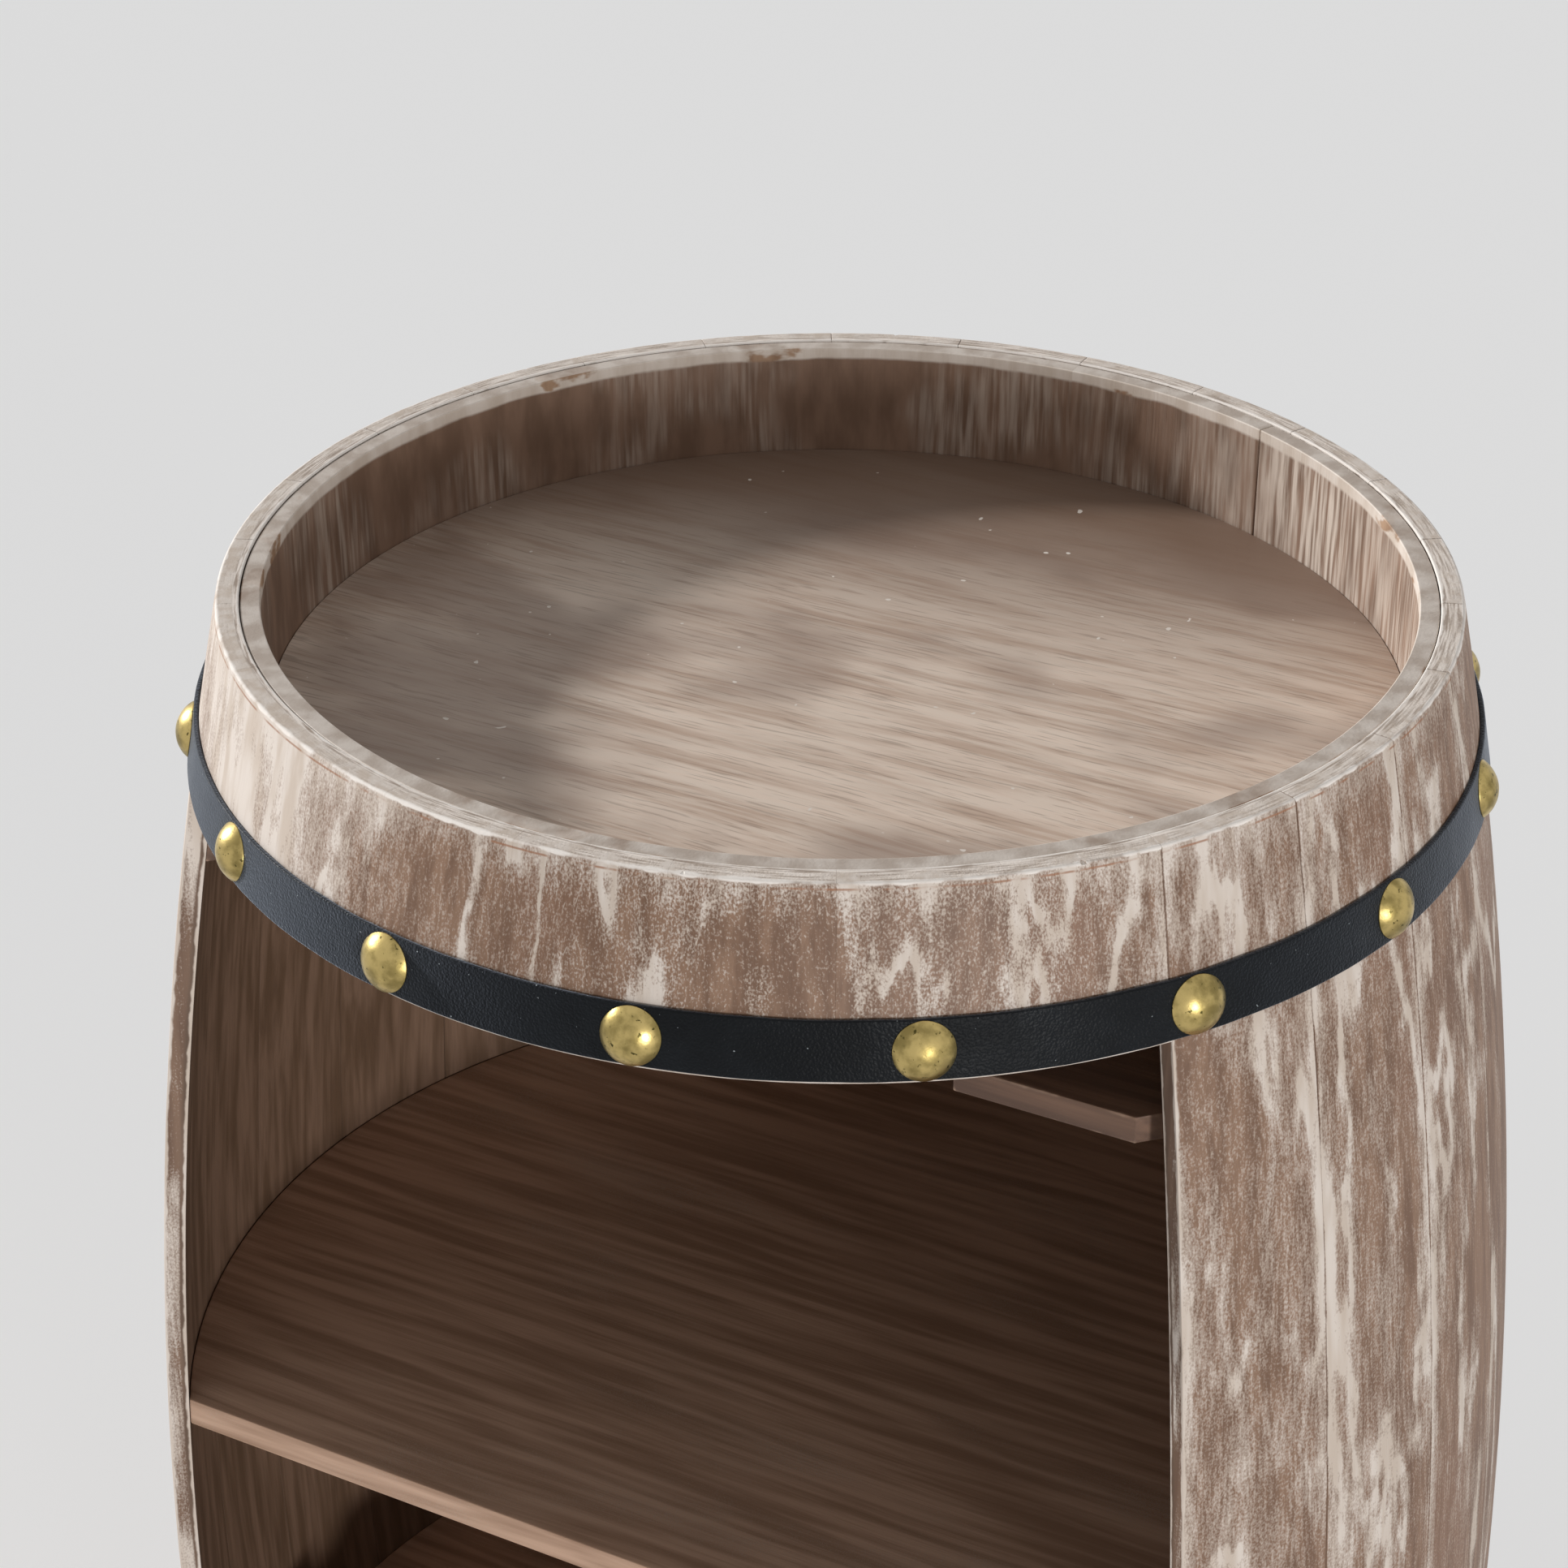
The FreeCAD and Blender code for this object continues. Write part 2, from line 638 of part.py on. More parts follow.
strap("top_strap", TOP_STRAP, top_tack_holes)
strap("bottom_strap", BOTTOM_STRAP, bottom_tack_holes)

foot_outside = "(Sizes.end_radius - Sizes.foot_margin)"
foot_inside = "(Sizes.end_radius - Sizes.stave_thickness + Sizes.foot_margin)"
foot_ring_profile = corner_section(
    "foot_ring_profile",
    [
        (foot_inside, "0"),
        (foot_outside, "0"),
        (foot_outside, "Sizes.foot_height"),
        (foot_inside, "Sizes.foot_height"),
    ],
)
keep(turned("foot_ring", foot_ring_profile))

# ---------------------------------------------------------------- check and write

doc.recompute()
failed = [thing.Label for thing in doc.Objects if {"Invalid", "Error"} & set(thing.State)]
for piece in pieces:
    if piece.Shape.isNull() or not piece.Shape.isValid() or not piece.Shape.Solids:
        failed.append(piece.Label)
if failed:
    raise SystemExit(f"these objects failed: {sorted(set(failed))}")

os.makedirs("parts", exist_ok=True)
for piece in pieces:
    piece.Shape.exportStep(f"parts/{piece.Label}.step")
    solids = len(piece.Shape.Solids)
    print(f"{piece.Label}: {solids} solid(s), {piece.Shape.Volume / 1000:.1f} cm3")
print(f"{len(pieces)} nodes")
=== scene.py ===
import math

import bmesh
import bpy
from mathutils import Matrix, Vector


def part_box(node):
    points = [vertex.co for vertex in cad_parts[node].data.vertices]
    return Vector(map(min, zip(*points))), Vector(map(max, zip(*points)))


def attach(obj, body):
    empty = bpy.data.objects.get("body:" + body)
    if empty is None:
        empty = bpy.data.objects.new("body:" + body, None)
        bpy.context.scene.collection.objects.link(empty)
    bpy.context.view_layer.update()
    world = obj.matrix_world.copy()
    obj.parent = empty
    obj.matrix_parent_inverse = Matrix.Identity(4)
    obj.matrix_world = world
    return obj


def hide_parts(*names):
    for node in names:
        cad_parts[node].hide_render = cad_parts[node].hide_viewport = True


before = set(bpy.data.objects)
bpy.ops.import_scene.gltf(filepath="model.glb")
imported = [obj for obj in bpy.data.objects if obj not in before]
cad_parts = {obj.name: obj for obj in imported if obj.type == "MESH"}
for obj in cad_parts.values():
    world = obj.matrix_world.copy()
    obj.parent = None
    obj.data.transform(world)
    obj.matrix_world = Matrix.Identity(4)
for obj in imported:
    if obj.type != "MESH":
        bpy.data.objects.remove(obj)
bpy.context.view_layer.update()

# Barrel bar cabinet: a staved barrel with an open front, a tray top, a stemware rack, two
# shelves with bottle rails, and a leather strap with brass tacks round each end.
# Metres, +Z up, the opening towards -Y. Angles round the barrel run from -Y towards +X.

MM = 0.001

# ------------------------------------------------------------------ sizes, as in the CAD

HEIGHT = 860 * MM
MIDDLE = HEIGHT / 2
END_RADIUS = 215 * MM
BULGE_RADIUS = 261 * MM
STAVE_THICKNESS = 8 * MM
SEAM = 0.02 * MM  # tighter than the CAD's, so that no light shows between staves
FOOT_HEIGHT = 2 * MM
OPENING_HALF_ANGLE = 54
FULL_STAVES = 18
FRONT_STAVES = 8
OPENING_TOP = 797 * MM
OPENING_LOW = 63 * MM
TRAY_GROOVE = (807 * MM, 813 * MM)
FLOOR_GROOVE = (45 * MM, 54 * MM)
BULGE = BULGE_RADIUS - END_RADIUS
CURVE = (MIDDLE**2 + BULGE**2) / (2 * BULGE)
CURVE_CENTRE = CURVE - BULGE_RADIUS
CROZE_DEPTH = 2.5 * MM
RIM_WEAR = 0.9 * MM
PATTERN_RADIUS = 240 * MM  # one radius at every height, so that patterns don't lean

LINER_OUTSIDE = 206.6 * MM
LINER_INSIDE = 199.8 * MM
LINER_LOW = 813 * MM
LINER_TOP = 859.4 * MM
LINER_BEVEL = (5 * MM, 4.5 * MM)
LINER_JOINT_ANGLE = 154.5
LINER_JOINT_GAP = 0.35 * MM

STRAP_WIDTH = 20 * MM
STRAP_THICKNESS = 1.8 * MM
STRAP_LIFT = 0.15 * MM
STRAP_HEIGHTS = {"top": 808 * MM, "bottom": 52 * MM}
STRAP_BUTT_ANGLE = 168.75
STRAP_BUTT_GAP = 0.5 * MM
TACKS = 16
TACK_RADIUS = 10 * MM
TACK_DOME = 5.2 * MM
TACK_LIP = 0.35 * MM
SHANK_INSET = 8.5 * MM
SHANK_LENGTH = 4 * MM
SHANK_POINT = 2.2 * MM

# chips in the rim: degrees round the barrel, then millimetres across and deep
NICKS = (
    (14.6, 1.5, 0.9),
    (47.0, 1.7, 1.2),
    (-31.0, 1.2, 0.7),
    (96.0, 1.6, 1.0),
    (-118.0, 1.5, 1.0),
    (201.0, 1.8, 1.1),
)


def barrel_radius(height, offset=0.0):
    """Radius of the barrel's outside at a height, moved outwards by offset."""
    return math.sqrt((CURVE + offset) ** 2 - (height - MIDDLE) ** 2) - CURVE_CENTRE


# ------------------------------------------------------------------ modelling helpers


def rest_all():
    """Object mode with nothing selected."""
    if bpy.context.mode != "OBJECT":
        bpy.ops.object.mode_set(mode="OBJECT")
    bpy.ops.object.select_all(action="DESELECT")


def take(piece):
    """Makes one piece the only selected and active one."""
    rest_all()
    piece.select_set(True)
    bpy.context.view_layer.objects.active = piece
    return piece


def new_piece(name):
    """Names the primitive that was just added and opens it in edit mode."""
    piece = bpy.context.active_object
    piece.name = name
    piece.data.name = name
    take(piece)
    bpy.ops.object.mode_set(mode="EDIT")
    return piece


def choose(piece, kind, test):
    """In edit mode, selects the vertices, edges or faces that pass a test."""
    bpy.ops.mesh.select_mode(type=kind)
    bpy.ops.mesh.select_all(action="DESELECT")
    mesh = bmesh.from_edit_mesh(piece.data)
    for part in {"VERT": mesh.verts, "EDGE": mesh.edges, "FACE": mesh.faces}[kind]:
        part.select_set(test(part))
    mesh.select_flush_mode()
    bmesh.update_edit_mesh(piece.data)


def middle_of(part):
    """The middle of an edge's or a face's vertices."""
    return sum((v.co for v in part.verts), Vector()) / len(part.verts)


def settle(piece):
    """Applies the piece's place to its mesh, so that the object sits at the origin."""
    take(piece)
    bpy.ops.object.transform_apply(location=True, rotation=True, scale=True)
    return piece


def finish_with(piece, kind, **settings):
    """Adds a modifier with its settings and applies it."""
    take(piece)
    bpy.ops.object.modifier_add(type=kind)
    modifier = piece.modifiers[-1]
    for key, value in settings.items():
        setattr(modifier, key, value)
    bpy.ops.object.modifier_apply(modifier=modifier.name)
    return piece


def ease_edges(piece, width, segments, angle):
    """Rounds the edges that turn by more than an angle."""
    return finish_with(
        piece,
        "BEVEL",
        width=width,
        segments=segments,
        limit_method="ANGLE",
        angle_limit=math.radians(angle),
    )


def make_uneven(piece, name, size, strength, direction="NORMAL", middle=0.5):
    """Pushes a piece's surface in and out by soft noise of a size."""
    noise = bpy.data.textures.new(name, "CLOUDS")
    noise.noise_scale = size
    finish_with(
        piece,
        "DISPLACE",
        texture=noise,
        texture_coords="LOCAL",
        direction=direction,
        strength=strength,
        mid_level=middle,
    )


def smooth(piece, angle=35):
    """Smooth shading up to an angle, with flat faces kept flat beside their eased edges."""
    take(piece)
    bpy.ops.object.shade_smooth_by_angle(angle=math.radians(angle))
    return finish_with(piece, "WEIGHTED_NORMAL", keep_sharp=True)


def copy_of(piece, name):
    """A copy with a mesh of its own."""
    made = piece.copy()
    made.data = piece.data.copy()
    made.name = name
    made.data.name = name
    bpy.context.scene.collection.objects.link(made)
    return made


def dress(piece, material, node, board=0.0):
    """Gives a piece its material, its body and its board number, and hides the CAD node it stands
    for.
    """
    piece.data.materials.clear()
    piece.data.materials.append(material)
    mark = piece.data.attributes.new("board", "FLOAT", "POINT")
    mark.data.foreach_set("value", [board] * len(piece.data.vertices))
    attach(piece, "root")
    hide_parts(node)
    return piece


# ------------------------------------------------------------------ material helpers

SMOOTH = {"interpolation_type": "SMOOTHSTEP"}
MULADD = {"operation": "MULTIPLY_ADD"}
RGBA = {"data_type": "RGBA"}


def tint(hex_colour):
    """An sRGB hex colour as linear RGBA."""
    parts = [int(hex_colour[i : i + 2], 16) / 255 for i in (1, 3, 5)]
    linear = [c / 12.92 if c <= 0.04045 else ((c + 0.055) / 1.055) ** 2.4 for c in parts]
    return (*linear, 1.0)


def feed(tree, node, links):
    """Gives each input a value, a socket to follow, or a node whose output it follows."""
    for socket, value in links.items():
        if isinstance(value, bpy.types.Node):
            value = next(output for output in value.outputs if output.enabled)
        if isinstance(value, bpy.types.NodeSocket):
            tree.links.new(value, node.inputs[socket])
        else:
            node.inputs[socket].default_value = value
    return node


def add(tree, kind, links=None, **settings):
    """Adds a node with its settings and feeds its inputs."""
    made = tree.nodes.new(kind)
    for key, value in settings.items():
        setattr(made, key, value)
    return feed(tree, made, links or {})


def new_material(name):
    """An empty material with its output and a Principled shader."""
    material = bpy.data.materials.new(name)
    material.use_nodes = True
    tree = material.node_tree
    tree.nodes.clear()
    shader = add(tree, "ShaderNodeBsdfPrincipled")
    add(tree, "ShaderNodeOutputMaterial", {"Surface": shader.outputs["BSDF"]})
    return material, tree, shader


# ------------------------------------------------------------------ staves


def level_cut(height, keep_above):
    """Cuts the whole mesh level at a height and keeps one side."""
    bpy.ops.mesh.select_all(action="SELECT")
    bpy.ops.mesh.bisect(
        plane_co=(0, 0, height),
        plane_no=(0, 0, 1),
        clear_outer=not keep_above,
        clear_inner=keep_above,
    )


def groove_cut(piece, bottom, top, widest):
    """Cuts a head's groove into the inside of a stave's outline."""
    depth = barrel_radius(widest, -STAVE_THICKNESS) + CROZE_DEPTH

    def within(face):
        return bottom < middle_of(face).z < top

    for height in (bottom, top):
        bpy.ops.mesh.select_all(action="SELECT")
        bpy.ops.mesh.bisect(plane_co=(0, 0, height), plane_no=(0, 0, 1))
    choose(piece, "FACE", within)
    bpy.ops.mesh.bisect(plane_co=(depth, 0, 0), plane_no=(1, 0, 0))
    choose(piece, "FACE", lambda face: within(face) and middle_of(face).x < depth)
    bpy.ops.mesh.delete(type="FACE")


def join_loose():
    """Merges doubled vertices and points the faces outwards."""
    bpy.ops.mesh.select_all(action="SELECT")
    bpy.ops.mesh.remove_doubles(threshold=0.01 * MM)
    bpy.ops.mesh.normals_make_consistent(inside=False)


def turn_section(steps, angle):
    """Turns the section in edit mode about the barrel's axis into a closed solid."""
    bpy.ops.mesh.select_all(action="SELECT")
    bpy.ops.mesh.spin(steps=steps, angle=angle, center=(0, 0, 0), axis=(0, 0, 1))
    join_loose()


def stave_blank(low, high, degrees, ease):
    """A stave that ends at +X: its outline bent along the barrel's curve, cut level at both
    ends, grooved for the tray and the floor, and turned about the barrel's axis."""
    rest_all()
    centre = (-CURVE_CENTRE, 0, MIDDLE)
    bpy.ops.mesh.primitive_circle_add(
        vertices=720,
        radius=CURVE,
        fill_type="NOTHING",
        location=centre,
        rotation=(math.pi / 2, 0, 0),
    )
    piece = settle(new_piece("stave_blank"))
    bpy.ops.object.mode_set(mode="EDIT")
    spare = 20 * MM
    choose(piece, "VERT", lambda v: v.co.x < 0 or not low - spare < v.co.z < high + spare)
    bpy.ops.mesh.delete(type="VERT")
    bpy.ops.mesh.select_all(action="SELECT")
    bpy.ops.mesh.extrude_edges_move()
    inner = (CURVE - STAVE_THICKNESS) / CURVE
    bpy.ops.transform.resize(value=(inner, inner, inner), center_override=centre)
    level_cut(high, keep_above=False)
    level_cut(low, keep_above=True)
    if high == HEIGHT:
        groove_cut(piece, *TRAY_GROOVE, TRAY_GROOVE[0])
    if low == FOOT_HEIGHT:
        groove_cut(piece, *FLOOR_GROOVE, FLOOR_GROOVE[1])
    join_loose()
    turn_section(steps=7, angle=math.radians(degrees) - SEAM / BULGE_RADIUS)
    choose(piece, "EDGE", lambda e: worn_rim_edge(e, high))
    bpy.ops.mesh.bevel(offset=RIM_WEAR, segments=3, affect="EDGES")
    rest_all()
    return ease_edges(piece, width=ease, segments=2, angle=50)


def worn_rim_edge(edge, high):
    """True for the rim's two long edges, which handling has worn round."""
    if high != HEIGHT or middle_of(edge).z < high - 0.01 * MM:
        return False
    radii = [math.hypot(v.co.x, v.co.y) for v in edge.verts]
    return abs(radii[0] - radii[1]) < 0.1 * MM


def put_round(piece, degrees):
    """Turns a piece that is modelled at +X to an angle round the barrel."""
    piece.rotation_euler = (0, 0, math.radians(degrees - 90))
    return settle(piece)


def stave_row(label, node, blank, count, start, width, first_board):
    """Copies a stave blank round the barrel, one for each stave of the row."""
    row = []
    half_seam = math.degrees(SEAM / BULGE_RADIUS) / 2
    for index in range(count):
        board = copy_of(blank, f"{label}_{index + 1:02d}")
        put_round(board, start + (index + 1) * width - half_seam)
        row.append((board, f"{node}_{index + 1:02d}", first_board + index))
    bpy.data.objects.remove(blank)
    return row


def nick_rim(row):
    """Knocks small chips out of the rim's outer edge."""
    for degrees, across, deep in NICKS:
        for board, node, _ in row:
            low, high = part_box(node)
            spot = Vector((math.sin(math.radians(degrees)), -math.cos(math.radians(degrees)), 0))
            spot *= END_RADIUS
            near = all(low[i] - 0.5 * MM < spot[i] < high[i] + 0.5 * MM for i in (0, 1))
            if not near or high.z < HEIGHT - MM:
                continue
            rest_all()
            bpy.ops.mesh.primitive_ico_sphere_add(
                subdivisions=1,
                radius=1.0,
                location=(spot.x, spot.y, HEIGHT + 0.3 * MM),
                rotation=(0.4, 0.3, math.radians(degrees) + 0.5),  # askew, as a knock would be
            )
            chip = bpy.context.active_object
            chip.scale = (across * MM, 1.2 * across * MM, deep * MM)
            settle(chip)
            finish_with(board, "BOOLEAN", operation="DIFFERENCE", object=chip, solver="EXACT")
            bpy.data.objects.remove(chip)


def all_staves():
    """The staves of the barrel, and the short ones above and below the opening."""
    full = (360 - 2 * OPENING_HALF_ANGLE) / FULL_STAVES
    front = 2 * OPENING_HALF_ANGLE / FRONT_STAVES
    left, right = -OPENING_HALF_ANGLE, OPENING_HALF_ANGLE
    blank = stave_blank(FOOT_HEIGHT, HEIGHT, full, ease=0.35 * MM)
    rows = stave_row("side_stave", "stave", blank, FULL_STAVES, right, full, first_board=9)
    blank = stave_blank(OPENING_TOP, HEIGHT, front, ease=0.06 * MM)
    rows += stave_row("apron_stave", "head_stave", blank, FRONT_STAVES, left, front, first_board=1)
    nick_rim(rows)
    blank = stave_blank(FOOT_HEIGHT, OPENING_LOW, front, ease=0.12 * MM)
    rows += stave_row(
        "plinth_stave", "foot_stave", blank, FRONT_STAVES, left, front, first_board=31
    )
    return rows


# ------------------------------------------------------------------ turned rings


def ring_section(name, radius, height, across, up, lean=0.0):
    """A flat section across and up, at a radius and height on the XZ plane."""
    rest_all()
    bpy.ops.mesh.primitive_plane_add(
        size=1,
        location=(radius, 0, height),
        rotation=(math.pi / 2, lean, 0),
    )
    piece = new_piece(name)
    bpy.ops.object.mode_set(mode="OBJECT")
    piece.scale = (across, up, 1)
    settle(piece)
    bpy.ops.object.mode_set(mode="EDIT")
    return piece


def tray_liner():
    """The band that lines the tray, bevelled inside its top, with one butt joint."""
    middle = (LINER_OUTSIDE + LINER_INSIDE) / 2
    height = (LINER_TOP + LINER_LOW) / 2
    across = LINER_OUTSIDE - LINER_INSIDE
    piece = ring_section("rim_liner", middle, height, across, LINER_TOP - LINER_LOW)
    bevel_across, bevel_down = LINER_BEVEL
    bpy.ops.mesh.select_all(action="SELECT")
    bpy.ops.mesh.bisect(
        plane_co=(LINER_INSIDE, 0, LINER_TOP - bevel_down),
        plane_no=(-bevel_down, 0, bevel_across),
        clear_outer=True,
    )
    gap = LINER_JOINT_GAP / LINER_INSIDE
    turn_section(steps=180, angle=2 * math.pi - gap)
    rest_all()
    put_round(piece, LINER_JOINT_ANGLE)
    return smooth(ease_edges(piece, width=0.5 * MM, segments=3, angle=30))


def foot_pad():
    """The felt ring that the barrel stands on."""
    margin = 1 * MM
    inside = END_RADIUS - STAVE_THICKNESS + margin
    outside = END_RADIUS - margin
    middle = (inside + outside) / 2
    piece = ring_section("felt_foot", middle, FOOT_HEIGHT / 2, outside - inside, FOOT_HEIGHT)
    bpy.ops.mesh.select_all(action="SELECT")
    bpy.ops.mesh.bevel(offset=0.5 * MM, segments=2, affect="VERTICES")
    bpy.ops.mesh.delete(type="ONLY_FACE")
    turn_section(steps=160, angle=2 * math.pi)
    rest_all()
    return smooth(piece)


def leather_strap(label):
    """A leather band with rounded edges that follows the barrel's slope, a little uneven."""
    height = STRAP_HEIGHTS[label]
    skin = STRAP_LIFT + STRAP_THICKNESS / 2
    lean = -math.asin((height - MIDDLE) / (CURVE + skin))
    radius = barrel_radius(height, skin)
    name = f"{label}_leather_strap"
    piece = ring_section(name, radius, height, STRAP_THICKNESS, STRAP_WIDTH, lean)
    choose(piece, "EDGE", lambda e: e.calc_length() > STRAP_WIDTH / 2)
    bpy.ops.mesh.subdivide(number_cuts=9)
    choose(piece, "VERT", lambda v: len(v.link_edges) == 2 and v.calc_edge_angle(3.14) > 1)
    bpy.ops.mesh.bevel(offset=0.6 * MM, segments=3, affect="VERTICES")
    gap = STRAP_BUTT_GAP / END_RADIUS
    turn_section(steps=320, angle=2 * math.pi - gap)
    rest_all()
    put_round(piece, STRAP_BUTT_ANGLE)
    make_uneven(piece, f"{label}_hand_cut", size=28 * MM, strength=0.8 * MM, direction="Z")
    make_uneven(piece, f"{label}_stretch", size=12 * MM, strength=0.22 * MM, middle=0.6)
    return smooth(piece, angle=50)


# ------------------------------------------------------------------ tacks


def dome_tack():
    """One tack, upright: a stamped dome with a thin turned-in lip and a shank below."""
    rest_all()
    round_radius = (TACK_RADIUS**2 + TACK_DOME**2) / (2 * TACK_DOME)
    bpy.ops.mesh.primitive_uv_sphere_add(
        segments=40,
        ring_count=44,
        radius=round_radius,
        location=(0, 0, TACK_DOME - round_radius),
    )
    piece = settle(new_piece("dome_tack"))
    bpy.ops.object.mode_set(mode="EDIT")
    level_cut(0.0, keep_above=True)
    choose(piece, "EDGE", lambda e: e.is_boundary)
    bpy.ops.mesh.extrude_edges_move(TRANSFORM_OT_translate={"value": (0, 0, -TACK_LIP)})
    bpy.ops.transform.resize(value=(0.97, 0.97, 1), center_override=(0, 0, 0))
    bpy.ops.mesh.edge_face_add()
    bpy.ops.mesh.inset(thickness=SHANK_INSET)
    bpy.ops.mesh.extrude_region_move(TRANSFORM_OT_translate={"value": (0, 0, -SHANK_LENGTH)})
    bpy.ops.mesh.extrude_region_move(TRANSFORM_OT_translate={"value": (0, 0, -SHANK_POINT)})
    bpy.ops.transform.resize(value=(0.15, 0.15, 1), center_override=(0, 0, 0))
    join_loose()
    choose(piece, "EDGE", lambda e: all(abs(v.co.z) < 0.01 * MM for v in e.verts))
    bpy.ops.mesh.bevel(offset=0.3 * MM, segments=2, affect="EDGES")
    rest_all()
    return piece


def tack_ring(label, tack):
    """Sixteen tacks round a strap, joined, each a little dented in its own way."""
    height = STRAP_HEIGHTS[label]
    skin = STRAP_LIFT + STRAP_THICKNESS
    slope = math.asin((height - MIDDLE) / (CURVE + skin))
    outward = Matrix.Translation((barrel_radius(height, skin), 0, height))
    outward @= Matrix.Rotation(math.pi / 2 - slope, 4, "Y")
    made = []
    for index in range(TACKS):
        piece = copy_of(tack, f"{label}_brass_tacks")
        turn = Matrix.Rotation(math.radians((index + 0.5) * 360 / TACKS - 90), 4, "Z")
        own_spin = Matrix.Rotation(index * 1.3, 4, "Z")
        piece.matrix_world = turn @ outward @ own_spin
        made.append(settle(piece))
    rest_all()
    for piece in made:
        piece.select_set(True)
    ring = made[0]
    bpy.context.view_layer.objects.active = ring
    bpy.ops.object.join()
    ring.name = f"{label}_brass_tacks"
    make_uneven(ring, f"{label}_dents", size=5 * MM, strength=0.16 * MM)
    return smooth(ring, angle=40)


# ------------------------------------------------------------------ boards


def eased_board(node, name, ease):
    """A copy of a CAD board with its long edges rounded by ease."""
    piece = copy_of(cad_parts[node], name)
    for key in [k for k in piece.keys() if k.startswith("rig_")]:
        del piece[key]
    piece.parent = None
    take(piece)
    bpy.ops.mesh.customdata_custom_splitnormals_clear()
    bpy.ops.object.mode_set(mode="EDIT")
    bpy.ops.mesh.select_all(action="SELECT")
    bpy.ops.mesh.remove_doubles(threshold=0.001 * MM)
    bpy.ops.mesh.dissolve_limited(angle_limit=math.radians(0.3))
    choose(
        piece,
        "EDGE",
        lambda e: e.calc_length() > 1.1 * MM and e.calc_face_angle(0) > math.radians(50),
    )
    bpy.ops.mesh.bevel(offset=ease, segments=2, affect="EDGES", clamp_overlap=True)
    rest_all()
    return smooth(piece, angle=30)


# ------------------------------------------------------------------ wood


def from_its_board(tree, place):
    """Takes each board's pattern from its own part of the wood."""
    board = add(tree, "ShaderNodeAttribute", attribute_name="board").outputs["Fac"]
    apart = (0.37, 1.91, 0.73)
    return add(tree, "ShaderNodeVectorMath", {0: board, 1: apart, 2: place}, **MULADD)


def barrel_place(tree):
    """Where a point lies on the barrel in metres: round it, up it and out from its axis. Also
    its angle in radians, its height, and how deep it lies below the barrel's outside."""
    here = add(tree, "ShaderNodeTexCoord").outputs["Object"]
    parts = add(tree, "ShaderNodeSeparateXYZ", {0: here})
    height = parts.outputs["Z"]
    ahead = add(tree, "ShaderNodeMath", {0: parts.outputs["Y"], 1: -1.0}, operation="MULTIPLY")
    turn = add(tree, "ShaderNodeMath", {0: parts.outputs["X"], 1: ahead}, operation="ARCTAN2")
    around = add(tree, "ShaderNodeMath", {0: turn, 1: PATTERN_RADIUS}, operation="MULTIPLY")
    level = add(tree, "ShaderNodeCombineXYZ", {0: parts.outputs["X"], 1: parts.outputs["Y"]})
    radius = add(tree, "ShaderNodeVectorMath", {0: level}, operation="LENGTH").outputs["Value"]
    rise = add(tree, "ShaderNodeMath", {0: height, 1: MIDDLE}, operation="SUBTRACT")
    rise = add(tree, "ShaderNodeMath", {0: rise, 1: rise}, operation="MULTIPLY")
    curve = add(tree, "ShaderNodeMath", {0: CURVE**2, 1: rise}, operation="SUBTRACT")
    curve = add(tree, "ShaderNodeMath", {0: curve}, operation="SQRT")
    skin = add(tree, "ShaderNodeMath", {0: curve, 1: CURVE_CENTRE}, operation="SUBTRACT")
    depth = add(tree, "ShaderNodeMath", {0: skin, 1: radius}, operation="SUBTRACT")
    place = add(tree, "ShaderNodeCombineXYZ", {0: around, 1: height, 2: radius})
    return from_its_board(tree, place), turn, height, depth


def plank_place(tree, along):
    """Where a point lies on a flat board in metres: across the grain, along it, and up."""
    here = add(tree, "ShaderNodeTexCoord").outputs["Object"]
    parts = add(tree, "ShaderNodeSeparateXYZ", {0: here}).outputs
    across = "Y" if along == "X" else "X"
    place = add(tree, "ShaderNodeCombineXYZ", {0: parts[across], 1: parts[along], 2: parts["Z"]})
    return from_its_board(tree, place)


def wood_layers(tree, place, **layers):
    """Layers of noise that sway together as the fibres do. Each is given by its waves to the
    metre across the grain, how many times longer they are along it, and their detail."""
    slow = add(tree, "ShaderNodeVectorMath", {0: place, 1: (1, 0.25, 1)}, operation="MULTIPLY")
    slow = add(tree, "ShaderNodeTexNoise", {"Vector": slow, "Scale": 14.0}).outputs["Color"]
    sway = add(tree, "ShaderNodeVectorMath", {0: slow, 1: (0.5, 0.5, 0.5)}, operation="SUBTRACT")
    reach = (16 * MM, 0, 16 * MM)
    bent = add(tree, "ShaderNodeVectorMath", {0: sway, 1: reach, 2: place}, **MULADD)
    look = {}
    for name, (waves, longer, detail) in layers.items():
        drawn = (1, 1 / longer, 1)
        drawn = add(tree, "ShaderNodeVectorMath", {0: bent, 1: drawn}, operation="MULTIPLY")
        links = {"Vector": drawn, "Scale": waves, "Detail": detail}
        look[name] = add(tree, "ShaderNodeTexNoise", links)
    return look


def wood_relief(tree, shader, fibre, white, strength=0.35):
    """Raised fibres, and wash that stands a little above them."""
    height = add(tree, "ShaderNodeMath", {0: white, 1: 0.4, 2: fibre}, **MULADD)
    links = {"Strength": strength, "Distance": 0.3 * MM, "Height": height}
    feed(tree, shader, {"Normal": add(tree, "ShaderNodeBump", links)})


def past_opening(tree, turn):
    """How far round the barrel a point is past the nearer side of the opening, in radians."""
    aside = add(tree, "ShaderNodeMath", {0: turn}, operation="ABSOLUTE")
    opening = math.radians(OPENING_HALF_ANGLE)
    return add(tree, "ShaderNodeMath", {0: aside, 1: opening}, operation="SUBTRACT")


